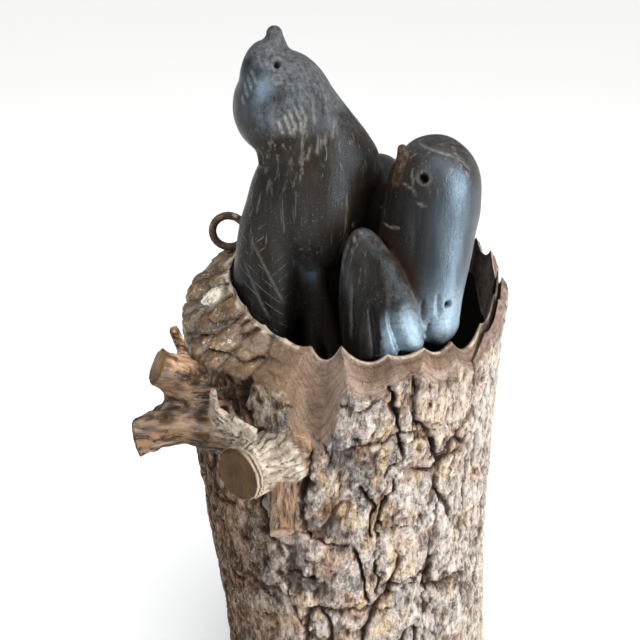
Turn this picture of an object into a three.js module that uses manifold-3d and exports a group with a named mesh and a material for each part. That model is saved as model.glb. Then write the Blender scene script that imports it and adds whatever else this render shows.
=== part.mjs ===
// Bird tree carving: a grown bird and a chick, carved from one dark block of wood, stand in the
// hollow of a branchy length of log with its bark on. An iron screw eye is set in the log's rim.
// Millimetres, +Z up. The origin is the centre of the log's sawn underside; the birds face -Y.

import * as THREE from 'three';
import { mergeVertices } from 'three/addons/utils/BufferGeometryUtils.js';
import Module from 'manifold-3d';

const wasm = await Module();
wasm.setup();

// Log
const LOG_HEIGHT = 190; // from the base to the front of the rim
const LOG_BASE_DIAMETER = 117;
const LOG_RIM_DIAMETER = 118;
const LOG_WAIST = 4.5; // how much narrower the log is below its middle
const LOG_BOW = 2.8; // how far it swings to the left two thirds of the way up
const LOG_LEAN = 8.6; // how far its top stands to the left of its base
const RIM_RISE = 13; // how much higher the rim is at the back than at the front
const BARK_LUMP = 1.1; // how far the bark swells and sinks

// Hollow
const RIM_WALL = 10.8; // between the hollow and the bark at the rim, on average
const HOLLOW_DEPTH = 80; // below the front of the rim
const HOLLOW_SHIFT = 6.6; // to the right of the log's centre at the rim
const LIP = 0.8; // thickness of the sharp edge that the gouge leaves

// Gouge cuts round the rim
const GOUGE_RADIUS = 8;
const CUT_PITCH = 16; // degrees between the cuts at the back
const BACK_CUT_SLOPE = 0.9; // how far they run outwards for each millimetre down
const CHAMFER = 0.44; // how fast the left wall narrows towards its top

// Crack between wood and bark
const CRACK_WIDTH = 1.7;
const CRACK_DEPTH = 24;
const BARK_THICKNESS = 3;
const CRACK_START = -52; // degrees round the hollow
const CRACK_END = 30;

// Birds
const BIRDS_HEIGHT = 176; // from the floor of the hollow to the grown bird's beak
const BIRDS_CLEARANCE = 0.6; // between the birds and the wall of the hollow
const SEAT_GAP = 0.3; // between the birds and the floor of the hollow

// Screw eye
const EYE_DIAMETER = 15.4;
const EYE_WIRE = 3.1;
const EYE_SHANK = 16; // length below the ring
const EYE_ANGLE = 164; // degrees round the hollow
const EYE_INSET = 3.6; // from the wall's inner face to the shank's axis
const EYE_LIFT = 0.3; // between the rim and the ring
const SHANK_CLEARANCE = 0.3;

const COLUMNS = 112; // round the log

const HOLLOW_RADIUS = LOG_RIM_DIAMETER / 2 - RIM_WALL;
const HOLLOW_X = HOLLOW_SHIFT - LOG_LEAN;
const FLOOR_Z = LOG_HEIGHT - HOLLOW_DEPTH;
const radians = THREE.MathUtils.degToRad;

const materials = {
  log: new THREE.MeshStandardMaterial({ color: 0x9a8770, roughness: 0.88, metalness: 0 }),
  birds: new THREE.MeshStandardMaterial({ color: 0x33302e, roughness: 0.45, metalness: 0 }),
  iron: new THREE.MeshStandardMaterial({ color: 0x4a3328, roughness: 0.75, metalness: 0.6 }),
};

// Solids

function solidOf(geometry) {
  const bare = geometry.clone();
  bare.deleteAttribute('normal');
  bare.deleteAttribute('uv');
  const merged = mergeVertices(bare, 1e-4);
  return new wasm.Manifold(new wasm.Mesh({
    numProp: 3,
    vertProperties: new Float32Array(merged.attributes.position.array),
    triVerts: new Uint32Array(merged.index.array),
  }));
}

function geometryOf(solid) {
  const mesh = solid.getMesh();
  const indexed = new THREE.BufferGeometry();
  indexed.setAttribute('position', new THREE.BufferAttribute(mesh.vertProperties, 3));
  indexed.setIndex(new THREE.BufferAttribute(mesh.triVerts, 1));
  const faceted = indexed.toNonIndexed();
  faceted.computeVertexNormals();
  return faceted;
}

function meshGeometry(points, triangles) {
  const geometry = new THREE.BufferGeometry();
  geometry.setAttribute('position', new THREE.Float32BufferAttribute(points.flatMap((p) => p.toArray()), 3));
  geometry.setIndex(triangles);
  return geometry;
}

// Skins a stack of rings, each with the same number of points running counter-clockwise about the
// way the stack goes, and closes both ends on a point.
function skin(first, rings, last) {
  const count = rings[0].length;
  const points = [first, ...rings.flat(), last];
  const triangles = [];
  const at = (ring, i) => 1 + ring * count + (i % count);
  for (let i = 0; i < count; i += 1) {
    triangles.push(0, at(0, i + 1), at(0, i));
    triangles.push(points.length - 1, at(rings.length - 1, i), at(rings.length - 1, i + 1));
    for (let ring = 0; ring + 1 < rings.length; ring += 1) {
      triangles.push(at(ring, i), at(ring, i + 1), at(ring + 1, i + 1));
      triangles.push(at(ring, i), at(ring + 1, i + 1), at(ring + 1, i));
    }
  }
  return meshGeometry(points, triangles);
}

// A V-shaped cut along points on a surface, each with the surface's normal, that runs out to
// nothing at both ends. It stands a little proud, so that it cuts through the facets.
const CUT_PROUD = 0.7;

function vCut(points, normals, width, depth) {
  const rings = [];
  const last = points.length - 1;
  for (let i = 1; i < last; i += 1) {
    const along = points[i + 1].clone().sub(points[i - 1]).normalize();
    const side = along.clone().cross(normals[i]).normalize();
    const half = (width / 2) * (1 + CUT_PROUD / depth);
    rings.push([
      points[i].clone().addScaledVector(normals[i], -depth),
      points[i].clone().addScaledVector(normals[i], CUT_PROUD).addScaledVector(side, -half),
      points[i].clone().addScaledVector(normals[i], CUT_PROUD).addScaledVector(side, half),
    ]);
  }
  const end = (i) => points[i].clone().addScaledVector(normals[i], CUT_PROUD * 0.8);
  return skin(end(0), rings, end(last));
}

// Log: its bark, centre line and rim

// The log's centre line swings to one side between its base and its leaning top.
function logCentre(height) {
  const t = height / LOG_HEIGHT;
  return -(6.75 * LOG_BOW * t * t * (1 - t) + LOG_LEAN * t);
}

function logRadius(angle, height) {
  const t = THREE.MathUtils.clamp(height / LOG_HEIGHT, 0, 1);
  const mean = THREE.MathUtils.lerp(LOG_BASE_DIAMETER, LOG_RIM_DIAMETER, t)
    - LOG_WAIST * Math.sin(Math.PI * t ** 0.6);
  const lumps = Math.sin(3 * angle + 4 * t) + 0.7 * Math.sin(5 * angle - 5 * t + 1);
  return mean / 2 + BARK_LUMP * lumps * 0.6;
}

// Distance from the hollow's centre line to the bark. At the left the log is hewn back above the
// front of the rim, where its wall is thickest.
function barkReach(angle, height) {
  const offset = HOLLOW_X - logCentre(height);
  const along = offset * Math.cos(angle);
  const radius = logRadius(angle, height);
  const hewn = CHAMFER * Math.max(0, height - LOG_HEIGHT) * Math.max(0, -Math.cos(angle));
  return -along + Math.sqrt(along * along - offset * offset + radius * radius) - hewn;
}

function aroundHollow(angle, reach, height) {
  return new THREE.Vector3(HOLLOW_X + reach * Math.cos(angle), reach * Math.sin(angle), height);
}

// The cuts that show, from the left round the front to the right: place in degrees round the
// hollow, height of the lip above the front of the rim, and length down the bark.
const FRONT_CUTS = [
  [-196, 12.2, 1.5],
  [-180, 11.6, 1.8],
  [-165, 10, 6],
  [-150, 7.6, 12],
  [-138, 4.3, 13],
  [-127, 2.4, 13],
  [-117, 0.8, 12],
  [-107, -2.2, 34],
  [-90, -1.9, 11],
  [-77, -0.4, 6],
  [-62, -1.2, 11.5],
  [-47, -3.5, 8],
  [-33, 1.8, 7.5],
  [-18, 7.5, 6.2],
  [0, 6.8, 5.7],
  [17, 11, 6.2],
];

// Thickness of the log's wall outside the lip, at the height of the front of the rim.
function wallAt(angle) {
  return barkReach(angle, LOG_HEIGHT) - HOLLOW_RADIUS - LIP;
}

// The cuts at the back, which the photograph hides, follow the rim's rise in even steps.
function rimCuts() {
  const cuts = FRONT_CUTS.map(([place, lip, length]) => {
    const angle = radians(place);
    return { angle, lip, slope: wallAt(angle) / length };
  });
  const start = FRONT_CUTS[FRONT_CUTS.length - 1][0];
  const end = FRONT_CUTS[0][0] + 360;
  const steps = Math.round((end - start) / CUT_PITCH);
  for (let i = 1; i < steps; i += 1) {
    const place = start + ((end - start) * i) / steps;
    const lip = RIM_RISE - 1.2 + 1.1 * Math.sin(2.3 * i);
    cuts.push({ angle: radians(place), lip, slope: BACK_CUT_SLOPE * (1 + 0.25 * Math.sin(1.7 * i)) });
  }
  return cuts;
}

const CUTS = rimCuts();

function angleBetween(a, b) {
  return Math.atan2(Math.sin(a - b), Math.cos(a - b));
}

// How a gouge cut meets one ray from the hollow: the height of its lip, and of its lower end.
function cutAt({ angle: place, lip: level, slope }, angle) {
  const across = HOLLOW_RADIUS * angleBetween(angle, place);
  const lip = LOG_HEIGHT + level + (across * across) / (2 * GOUGE_RADIUS) / slope;
  return { lip, slope, low: lip - wallAt(angle) / slope };
}

// The rim on one ray: the lowest lip, the lowest end of the cuts and the reach in between.
function rimAt(angle) {
  const meets = CUTS.map((cut) => cutAt(cut, angle));
  const top = Math.min(...meets.map((cut) => cut.lip));
  const low = Math.min(top - 1, ...meets.map((cut) => cut.low));
  const reach = (height) => Math.min(
    barkReach(angle, height),
    ...meets.map((cut) => HOLLOW_RADIUS + LIP + Math.max(0, cut.lip - height) * cut.slope),
  );
  return { top, low, reach };
}

const BARK_ROWS = 5;
const CUT_ROWS = 3;
const WALL_ROWS = 1;

function logBody() {
  const rims = [];
  for (let i = 0; i < COLUMNS; i += 1) {
    const angle = (2 * Math.PI * i) / COLUMNS;
    rims.push({ angle, ...rimAt(angle) });
  }
  const rings = [];
  const ring = (place) => rings.push(rims.map(place));
  for (let row = 0; row < BARK_ROWS; row += 1) {
    ring(({ angle, low }) => {
      const height = ((Math.min(low, LOG_HEIGHT) - 2) * row) / (BARK_ROWS - 1);
      return aroundHollow(angle, barkReach(angle, height), height);
    });
  }
  ring(({ angle, low }) => aroundHollow(angle, barkReach(angle, low), low));
  for (let row = 1; row <= CUT_ROWS; row += 1) {
    ring(({ angle, low, top, reach }) => {
      const height = THREE.MathUtils.lerp(low, top, row / CUT_ROWS);
      return aroundHollow(angle, reach(height), height);
    });
  }
  for (let row = 0; row <= WALL_ROWS; row += 1) {
    ring(({ angle, top }) => {
      const height = THREE.MathUtils.lerp(top, FLOOR_Z, row / WALL_ROWS);
      return aroundHollow(angle, HOLLOW_RADIUS, height);
    });
  }
  return skin(new THREE.Vector3(0, 0, 0), rings, new THREE.Vector3(HOLLOW_X, 0, FLOOR_Z));
}

// The split that stands open between the wood and the bark at the right of the rim.
function barkCrack() {
  const steps = 16;
  const rings = [];
  for (let i = 1; i < steps; i += 1) {
    const t = i / steps;
    const angle = radians(THREE.MathUtils.lerp(CRACK_START, CRACK_END, t));
    const open = Math.sin(Math.PI * t) ** 0.5;
    const { top } = rimAt(angle);
    const outer = barkReach(angle, LOG_HEIGHT) - BARK_THICKNESS;
    const inner = outer - CRACK_WIDTH * open;
    const low = top - 5 - CRACK_DEPTH * open;
    rings.push([
      aroundHollow(angle, outer, low),
      aroundHollow(angle, outer, LOG_HEIGHT + 2 * RIM_RISE),
      aroundHollow(angle, inner, LOG_HEIGHT + 2 * RIM_RISE),
      aroundHollow(angle, inner, low),
    ]);
  }
  const end = (place) => {
    const angle = radians(place);
    return aroundHollow(angle, barkReach(angle, LOG_HEIGHT) - BARK_THICKNESS, LOG_HEIGHT);
  };
  return skin(end(CRACK_START), rings.map((ring) => ring.reverse()), end(CRACK_END));
}

// Deep furrows between the plates of bark: width, depth, and places on the bark in degrees round
// the hollow and in hundredths of the log's height.
const FURROWS = [
  [3.2, 2.6, [[-76, 96], [-76, 92], [-74, 88], [-72, 84], [-69, 79]]],
  [3.4, 2.4, [[-79, 76], [-74, 79], [-67, 78], [-60, 77], [-50, 78], [-41, 79]]],
  [2.6, 2.2, [[-59, 84], [-57, 79], [-57, 73], [-52, 68], [-48, 61]]],
  [3, 2.4, [[-90, 79], [-85, 76], [-81, 72], [-82, 69], [-82, 63]]],
  [2.6, 2.2, [[-103, 86], [-104, 79], [-106, 71]]],
  [3, 2.2, [[-122, 54], [-115, 54], [-107, 56], [-99, 54]]],
  [2.8, 2.2, [[-108, 65], [-98, 64], [-88, 63], [-86, 57], [-84, 48]]],
  [2.6, 2, [[-82, 52], [-73, 52], [-62, 53], [-55, 58]]],
];

function barkNormal(angle) {
  return new THREE.Vector3(Math.cos(angle), Math.sin(angle), 0);
}

function furrow([width, depth, places]) {
  const points = places.map(([place, share]) => {
    const height = (share / 100) * LOG_HEIGHT;
    return aroundHollow(radians(place), barkReach(radians(place), height), height);
  });
  const normals = places.map(([place]) => barkNormal(radians(place)));
  return vCut(points, normals, width, depth);
}

// Vertical furrows on the hidden side, plainer: even steps, each swaying a little. They stay below
// the floor of the hollow, where the wood is solid.
function backFurrows() {
  const list = [];
  const count = 9;
  const top = (100 * FLOOR_Z) / LOG_HEIGHT;
  for (let i = 0; i < count; i += 1) {
    const place = -20 + (230 * i) / (count - 1);
    const low = top * (0.2 + 0.15 * Math.sin(2.1 * i));
    const places = [0, 1, 2, 3, 4].map((step) => [place + 3 * Math.sin(i + 1.4 * step), low + 0.15 * top * step]);
    list.push([2.8, 2.2, places]);
  }
  return list;
}

// Branches: a stub grows out of the bark and ends in a flat cut. Places are degrees round the
// hollow, millimetres out from the bark, and shares of the log's height.
const STUBS = [
  { root: [-147, -12, 0.835], tip: [-153, 13.6, 0.947], radii: [16, 6.2], face: [-0.78, -0.25, 0.45] },
  { root: [-146, -14, 0.875], tip: [-151, 24, 0.819], radii: [13, 6.6], face: [-0.96, -0.1, -0.2] },
  { root: [-119, -12, 0.812], tip: [-128, 8.6, 0.782], radii: [15.5, 9.8], face: [-0.62, -0.78, 0] },
  { root: [-118, -6, 0.775], tip: [-115.4, 5.5, 0.672], radii: [5.4, 4.6], face: [0.1, -0.55, -0.8] },
  { root: [-155, 1.5, 0.925], tip: [-158, 5.2, 0.999], radii: [2, 1.1], face: [0.1, -0.2, 1] },
];

const STUB_SIDES = 12;
const STUB_ROWS = 4;
const STUB_FLARE = 1.6;

function onBark([place, out, share]) {
  const angle = radians(place);
  const height = share * LOG_HEIGHT;
  return aroundHollow(angle, barkReach(angle, height) + out, height);
}

function stub({ root, tip, radii, face }) {
  const from = onBark(root);
  const to = onBark(tip);
  const along = to.clone().sub(from).normalize();
  const side = along.clone().cross(new THREE.Vector3(0, 0, 1)).normalize();
  const up = along.clone().cross(side);
  const cut = new THREE.Vector3(...face).normalize();
  const rings = [];
  for (let row = 0; row <= STUB_ROWS; row += 1) {
    const t = row / STUB_ROWS;
    const radius = radii[1] + (radii[0] - radii[1]) * (1 - t) ** STUB_FLARE;
    const ring = [];
    for (let i = 0; i < STUB_SIDES; i += 1) {
      const turn = (2 * Math.PI * i) / STUB_SIDES;
      const arm = side.clone().multiplyScalar(radius * Math.cos(turn))
        .addScaledVector(up, radius * Math.sin(turn));
      const lean = (-arm.dot(cut) / along.dot(cut)) * t ** 3;
      ring.push(from.clone().lerp(to, t).add(arm).addScaledVector(along, lean));
    }
    rings.push(ring);
  }
  return skin(from, rings, to);
}

// Screw eye: where it stands, and the hole for its shank

const EYE_RADIUS = (EYE_DIAMETER - EYE_WIRE) / 2;

function eyeFoot() {
  const angle = radians(EYE_ANGLE);
  return aroundHollow(angle, HOLLOW_RADIUS + EYE_INSET, rimAt(angle).top + EYE_LIFT);
}

function shankGeometry(radius, top, bottom) {
  const rod = new THREE.CylinderGeometry(radius, radius, top - bottom, 12);
  rod.rotateX(Math.PI / 2);
  rod.translate(0, 0, (top + bottom) / 2);
  return rod;
}

// The roots of the stubs end short of the hollow.
const ROOT_COVER = 1;

function rootLimit() {
  const radius = HOLLOW_RADIUS + ROOT_COVER;
  const core = new THREE.CylinderGeometry(radius, radius, 2 * HOLLOW_DEPTH, 48);
  return core.rotateX(Math.PI / 2).translate(HOLLOW_X, 0, LOG_HEIGHT);
}

function logGeometry() {
  const foot = eyeFoot();
  const limit = solidOf(rootLimit());
  let log = solidOf(logBody());
  for (const branch of STUBS) {
    log = log.add(solidOf(stub(branch)).subtract(limit));
  }
  for (const cut of [...FURROWS, ...backFurrows()]) {
    log = log.subtract(solidOf(furrow(cut)));
  }
  log = log.subtract(solidOf(barkCrack()));
  const hole = shankGeometry(EYE_WIRE / 2 + SHANK_CLEARANCE, EYE_WIRE, -EYE_SHANK - SHANK_CLEARANCE);
  hole.translate(foot.x, foot.y, foot.z);
  return geometryOf(log.subtract(solidOf(hole)));
}

function eyeGeometry() {
  const ring = new THREE.TorusGeometry(EYE_RADIUS, EYE_WIRE / 2, 8, 18);
  ring.rotateX(Math.PI / 2);
  ring.translate(0, 0, EYE_RADIUS + EYE_WIRE / 2);
  const shank = shankGeometry(EYE_WIRE / 2, EYE_WIRE / 2, -EYE_SHANK);
  return geometryOf(solidOf(ring).add(solidOf(shank)));
}

// Birds. They are set out on a block 47.6 units in radius and 176 units tall, with the origin at
// the middle of the hollow's floor, and the block is then brought to its real size.
const BLOCK_RADIUS = 47.6;
const BLOCK_HEIGHT = 176;
const RIM_LEVEL = 95; // below this the block stays inside the hollow
const BIRDS_FACET = 5; // size of the facets that the birds are cut in
const LOWEST_FORM = 54; // nothing but legs and posts goes below this

const vector = (x, y, z) => new THREE.Vector3(x, y, z);

// Joins two forms with a fillet of about the given size.
function blend(a, b, size) {
  const overlap = Math.max(size - Math.abs(a - b), 0) / size;
  return Math.min(a, b) - (overlap * overlap * size) / 4;
}

// An egg whose third radius runs along lean, seen from the front.
function egg(centre, radii, lean) {
  const up = lean.clone().normalize();
  const out = vector(0, -1, 0).addScaledVector(up, up.y).normalize();
  const side = out.clone().cross(up);
  return (p) => {
    const q = p.clone().sub(centre);
    const x = q.dot(side) / radii[0];
    const y = q.dot(out) / radii[1];
    const z = q.dot(up) / radii[2];
    const near = Math.hypot(x, y, z);
    const pull = Math.hypot(x / radii[0], y / radii[1], z / radii[2]);
    return (near * (near - 1)) / Math.max(pull, 1e-9);
  };
}

// A round cone from one point to another.
function limb(from, to, fromRadius, toRadius) {
  const along = to.clone().sub(from);
  return (p) => {
    const t = THREE.MathUtils.clamp(p.clone().sub(from).dot(along) / along.lengthSq(), 0, 1);
    return p.distanceTo(from.clone().addScaledVector(along, t)) - THREE.MathUtils.lerp(fromRadius, toRadius, t);
  };
}

// A folded wing: a curved lens of wood from its root to its tip. It is widest at the share full of
// its length, and blunter at the root the lower the value blunt.
const WING_SIDES = 14;
const WING_ROWS = [0.03, 0.1, 0.2, 0.32, 0.45, 0.58, 0.7, 0.8, 0.88, 0.94, 0.98];

function wing({ root, tip, out, width, thick, full, bend, blunt }) {
  const along = tip.clone().sub(root).normalize();
  const face = out.clone().addScaledVector(along, -out.dot(along)).normalize();
  const side = along.clone().cross(face);
  const end = (blunt * (1 - full)) / full;
  const peak = full ** blunt * (1 - full) ** end;
  const rings = WING_ROWS.map((t) => {
    const half = (width * t ** blunt * (1 - t) ** end) / peak;
    const depth = thick * Math.sqrt(half / width);
    return Array.from({ length: WING_SIDES }, (_, i) => {
      const turn = (2 * Math.PI * i) / WING_SIDES;
      const s = half * Math.sin(turn);
      const n = depth * Math.cos(turn) - bend * s * s;
      return root.clone().lerp(tip, t).addScaledVector(side, s).addScaledVector(face, n);
    });
  });
  return skin(root, rings, tip);
}

const WINGS = [
  {
    root: vector(-32, -6, 131),
    tip: vector(-38.5, -15, 56),
    out: vector(-0.5, -0.86, 0.05),
    width: 13.6,
    thick: 8,
    full: 0.55,
    bend: 0.012,
    blunt: 0.6,
  },
  {
    root: vector(-2.6, -25, 115),
    tip: vector(5.6, -36, 73.5),
    out: vector(-0.45, -0.87, 0.12),
    width: 15,
    thick: 8,
    full: 0.86,
    bend: 0.008,
    blunt: 0.5,
  },
];

// The bodies: each form joins those before it with a fillet of its own.
const GROWN_BIRD = [
  // Head, crown and jaw
  [egg(vector(-29, -6, 150), [15.6, 16.5, 16.4], vector(-0.12, 0, 1)), 0],
  [egg(vector(-26.5, -6, 156), [12, 13.5, 12], vector(0, 0, 1)), 5],
  [egg(vector(-33.6, -9, 161), [7.2, 9, 11], vector(0.12, 0, 1)), 2],
  // Nape and breast
  [limb(vector(-23.5, -4, 149.5), vector(-7, -3, 130.6), 14, 12.2), 3],
  [egg(vector(-18.3, -1, 119), [20, 21, 29], vector(0, 0.05, 1)), 6],
  // Far wing and rump
  [egg(vector(7, 9, 109), [13, 13, 22], vector(-0.1, 0, 1)), 3],
  [egg(vector(-16, 8, 96), [19, 17, 34], vector(0, 0, 1)), 3],
  // Shoulder of the near wing
  [egg(vector(-31, -6, 115), [8.5, 9, 14], vector(0.2, 0, 1)), 6],
];

const CHICK = [
  // Head, body and tail
  [egg(vector(22.2, -16, 125), [15.8, 17, 18.3], vector(0.02, 0, 1)), 0],
  [egg(vector(19.6, -16, 106), [15.8, 16, 24], vector(0.08, 0.05, 1)), 6],
  [limb(vector(22, -17, 116), vector(22.4, -28.5, 83.5), 15, 9.4), 4],
];

const BETWEEN_BIRDS = 3;

function joined(forms, p) {
  return forms.slice(1).reduce((d, [form, fillet]) => blend(d, form(p), fillet), forms[0][0](p));
}

function birdsField(p) {
  return blend(joined(GROWN_BIRD, p), joined(CHICK, p), BETWEEN_BIRDS);
}

function slopeOf(field, p) {
  const step = 0.05;
  const along = (axis) => {
    const ahead = p.clone();
    const behind = p.clone();
    ahead[axis] += step;
    behind[axis] -= step;
    return field(ahead) - field(behind);
  };
  return vector(along('x'), along('y'), along('z')).divideScalar(2 * step);
}

// Moves a point that lies near the surface onto it.
function settle(field, p, reach) {
  const start = p.clone();
  const q = p.clone();
  for (let i = 0; i < 5; i += 1) {
    const slope = slopeOf(field, q);
    q.addScaledVector(slope, -field(q) / Math.max(slope.lengthSq(), 0.05));
  }
  return q.distanceTo(start) < reach ? q : start;
}

// A cell's twelve edges, each from a corner along an axis, and the four edges round each side.
const CORNERS = [0, 1, 2, 3, 4, 5, 6, 7].map((bit) => [bit & 1, (bit >> 1) & 1, (bit >> 2) & 1]);
const EDGES = CORNERS.flatMap((from) => [0, 1, 2]
  .filter((axis) => from[axis] === 0)
  .map((axis) => ({ from, axis, to: from.map((value, i) => (i === axis ? 1 : value)) })));
const SIDES = [0, 1, 2].flatMap((axis) => [0, 1].map((level) => EDGES
  .map((edge, number) => number)
  .filter((number) => EDGES[number].from[axis] === level && EDGES[number].to[axis] === level)));

function edgeNumber(axis, from) {
  return EDGES.findIndex((edge) => edge.axis === axis && edge.from.every((value, i) => value === from[i]));
}

// Groups a cell's crossed edges into the separate sheets of surface that pass through it. Where a
// side is crossed four times, the two edges that meet at an inside corner belong together.
function sheets(crossed, inside) {
  const group = EDGES.map((edge, number) => number);
  const join = (a, b) => {
    const [from, to] = [group[a], group[b]];
    group.forEach((value, number) => {
      if (value === from) {
        group[number] = to;
      }
    });
  };
  for (const side of SIDES) {
    const cut = side.filter((number) => crossed[number]);
    if (cut.length === 2) {
      join(cut[0], cut[1]);
    }
    if (cut.length === 4) {
      for (const corner of CORNERS.filter(inside)) {
        const touching = cut.filter((number) => [EDGES[number].from, EDGES[number].to]
          .some((end) => end.every((value, i) => value === corner[i])));
        if (touching.length === 2) {
          join(touching[0], touching[1]);
        }
      }
    }
  }
  return group;
}

// Evenly spaced places from one end to the other, no further apart than the size.
function ruled(from, to, size) {
  const steps = Math.ceil((to - from) / size);
  return Array.from({ length: steps + 1 }, (_, i) => from + ((to - from) * i) / steps);
}

// Cuts a form into facets on a grid whose lines stand at the given places: one point for each
// sheet in each cell that the surface crosses, and one face across each grid edge that it crosses.
function facet(field, lines) {
  const count = lines.map((axis) => axis.length);
  const place = (i, j, k) => vector(lines[0][i], lines[1][j], lines[2][k]);
  const key = (i, j, k) => (i * count[1] + j) * count[2] + k;
  const value = new Float64Array(count[0] * count[1] * count[2]);
  const each = (from, short, visit) => {
    for (let i = from; i < count[0] - short; i += 1) {
      for (let j = from; j < count[1] - short; j += 1) {
        for (let k = from; k < count[2] - short; k += 1) {
          visit(i, j, k);
        }
      }
    }
  };
  each(0, 0, (i, j, k) => {
    value[key(i, j, k)] = field(place(i, j, k));
  });

  const points = [];
  const cells = new Map();
  each(0, 1, (i, j, k) => {
    const at = (corner) => value[key(i + corner[0], j + corner[1], k + corner[2])];
    const crossed = EDGES.map((edge) => at(edge.from) < 0 !== at(edge.to) < 0);
    if (!crossed.includes(true)) {
      return;
    }
    const group = sheets(crossed, (corner) => at(corner) < 0);
    const cell = [];
    for (const sheet of new Set(group.filter((_, number) => crossed[number]))) {
      const middle = vector(0, 0, 0);
      let crossings = 0;
      EDGES.forEach(({ from, to }, number) => {
        if (crossed[number] && group[number] === sheet) {
          const start = place(i + from[0], j + from[1], k + from[2]);
          const stop = place(i + to[0], j + to[1], k + to[2]);
          middle.add(start.lerp(stop, at(from) / (at(from) - at(to))));
          crossings += 1;
          cell[number] = points.length;
        }
      });
      const reach = 0.7 * (lines[0][i + 1] - lines[0][i]);
      points.push(settle(field, middle.divideScalar(crossings), reach));
    }
    cells.set(key(i, j, k), cell);
  });

  const triangles = [];
  const face = (quad, flip) => {
    const [a, b, c, d] = flip ? quad.slice().reverse() : quad;
    if (points[a].distanceTo(points[c]) < points[b].distanceTo(points[d])) {
      triangles.push(a, b, c, a, c, d);
    } else {
      triangles.push(b, c, d, b, d, a);
    }
  };
  const rounds = [
    [[0, 0, 0], [0, 1, 0], [0, 1, 1], [0, 0, 1]],
    [[0, 0, 0], [0, 0, 1], [1, 0, 1], [1, 0, 0]],
    [[0, 0, 0], [1, 0, 0], [1, 1, 0], [0, 1, 0]],
  ];
  each(1, 1, (i, j, k) => {
    const here = value[key(i, j, k)] < 0;
    const next = [value[key(i + 1, j, k)], value[key(i, j + 1, k)], value[key(i, j, k + 1)]];
    rounds.forEach((round, axis) => {
      if (here !== next[axis] < 0) {
        const quad = round.map((back) => {
          const cell = cells.get(key(i - back[0], j - back[1], k - back[2]));
          return cell[edgeNumber(axis, back)];
        });
        face(quad, !here);
      }
    });
  });
  return meshGeometry(points, triangles);
}

// A grid line that grazes a crease can pinch the skin there. The grid is then moved a little, and
// the form is cut into facets again.
function facetedSolid(field) {
  const margin = 2.5 * BIRDS_FACET;
  const moves = 24;
  for (let move = 0; move < moves; move += 1) {
    const shift = (move / moves) * BIRDS_FACET;
    const across = ruled(-BLOCK_RADIUS - margin + shift, BLOCK_RADIUS + margin, BIRDS_FACET);
    const up = ruled(LOWEST_FORM - margin + shift, BLOCK_HEIGHT + margin, BIRDS_FACET);
    try {
      return solidOf(facet(field, [across, across, up]));
    } catch (error) {
      if (error.code !== 'NotManifold') {
        throw error;
      }
    }
  }
  throw new Error('the birds could not be cut into closed facets');
}

// Knife cuts that show from a step away: width, depth, and places across and up the block.
const KNIFE_CUTS = [
  // Grown bird: cheek
  [1.3, 0.9, [[-21.2, 160], [-18.1, 153.6], [-16.6, 146]]],
  [1.2, 0.8, [[-21.6, 155.5], [-19.7, 150.7], [-19.1, 145]]],
  [1.2, 0.8, [[-24.2, 154], [-22.5, 149.4], [-22.3, 143.6]]],
  [1.2, 0.8, [[-26.4, 152.5], [-24.7, 149], [-24.5, 144]]],
  [1.2, 0.8, [[-28.7, 151], [-26.9, 147.5], [-26.1, 144]]],
  // Grown bird: quills of the wing
  [1.5, 1, [[-40.3, 108.4], [-35.5, 100.3], [-31.1, 91.7], [-27.8, 84.9]]],
  [1.5, 1, [[-42.3, 98.7], [-38.1, 90.2], [-33.1, 79.7]]],
  // Chick: feathers of the wing
  [2.2, 1.6, [[0.6, 94.5], [1, 87], [1.6, 80.3], [2, 76]]],
  [2.4, 1.8, [[6.2, 92.5], [7.4, 86.1], [9.6, 80.7], [11, 77]]],
  [1.5, 1, [[-5.1, 98.8], [-5.4, 90.1], [-5.3, 80.1]]],
  [1.3, 0.8, [[0.5, 114], [0.8, 111], [1.2, 108]]],
  // Chick: tail and crown
  [1.6, 1.4, [[18, 93.5], [17.7, 89.5], [17.3, 86]]],
  [1.4, 1.3, [[22.9, 95.5], [22.7, 92], [22.8, 88.4]]],
  [1.6, 1.4, [[20.3, 86], [19.6, 83], [18.8, 80.5]]],
];

// Pits: the grown bird's eyes, the chick's near eye and a worm hole low on its back. The chick's
// other eye would lie against the grown bird's breast, and isn't cut.
const PITS = [
  { x: -29.1, z: 165.5, radius: 1.3 },
  { x: -29.1, z: 165.5, radius: 1.3, behind: true },
  { x: 17, z: 133.2, radius: 1.6 },
  { x: 26.4, z: 91.7, radius: 0.9 },
];

// Round-nosed rods, each from inside a body to its tip, with its radius at both.
const RODS = [
  // Beaks of the grown bird and the chick
  [vector(-30.3, -6, 165), vector(-30.2, -6, 176), 5.2, 3],
  [vector(12.4, -22, 129), vector(10.2, -20.5, 141), 3.4, 2],
  // Legs of the grown bird
  [vector(-18.5, -11, 99), vector(-18, -12, -6), 4, 3.4],
  [vector(-17, -12, 94), vector(-8, -14, -6), 3.4, 3.2],
  // Posts that the bodies stand on, where the log hides them
  [vector(-16, 10, 86), vector(-16, 10, -16), 14, 12],
  [vector(17, -11, 96), vector(16, -8, -16), 13, 11],
];
const ROD_SIDES = 10;

function rod([from, to, fromRadius, toRadius]) {
  const length = from.distanceTo(to);
  const profile = [
    [0, 0],
    [fromRadius, 0],
    [THREE.MathUtils.lerp(toRadius, fromRadius, 0.4), 0.5 * length],
    [toRadius, length - 0.7 * toRadius],
    [0.6 * toRadius, length - 0.15 * toRadius],
    [0, length],
  ];
  const cone = new THREE.LatheGeometry(profile.map(([x, y]) => new THREE.Vector2(x, y)), ROD_SIDES);
  const along = to.clone().sub(from).normalize();
  cone.applyQuaternion(new THREE.Quaternion().setFromUnitVectors(vector(0, 1, 0), along));
  return cone.translate(from.x, from.y, from.z);
}

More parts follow.
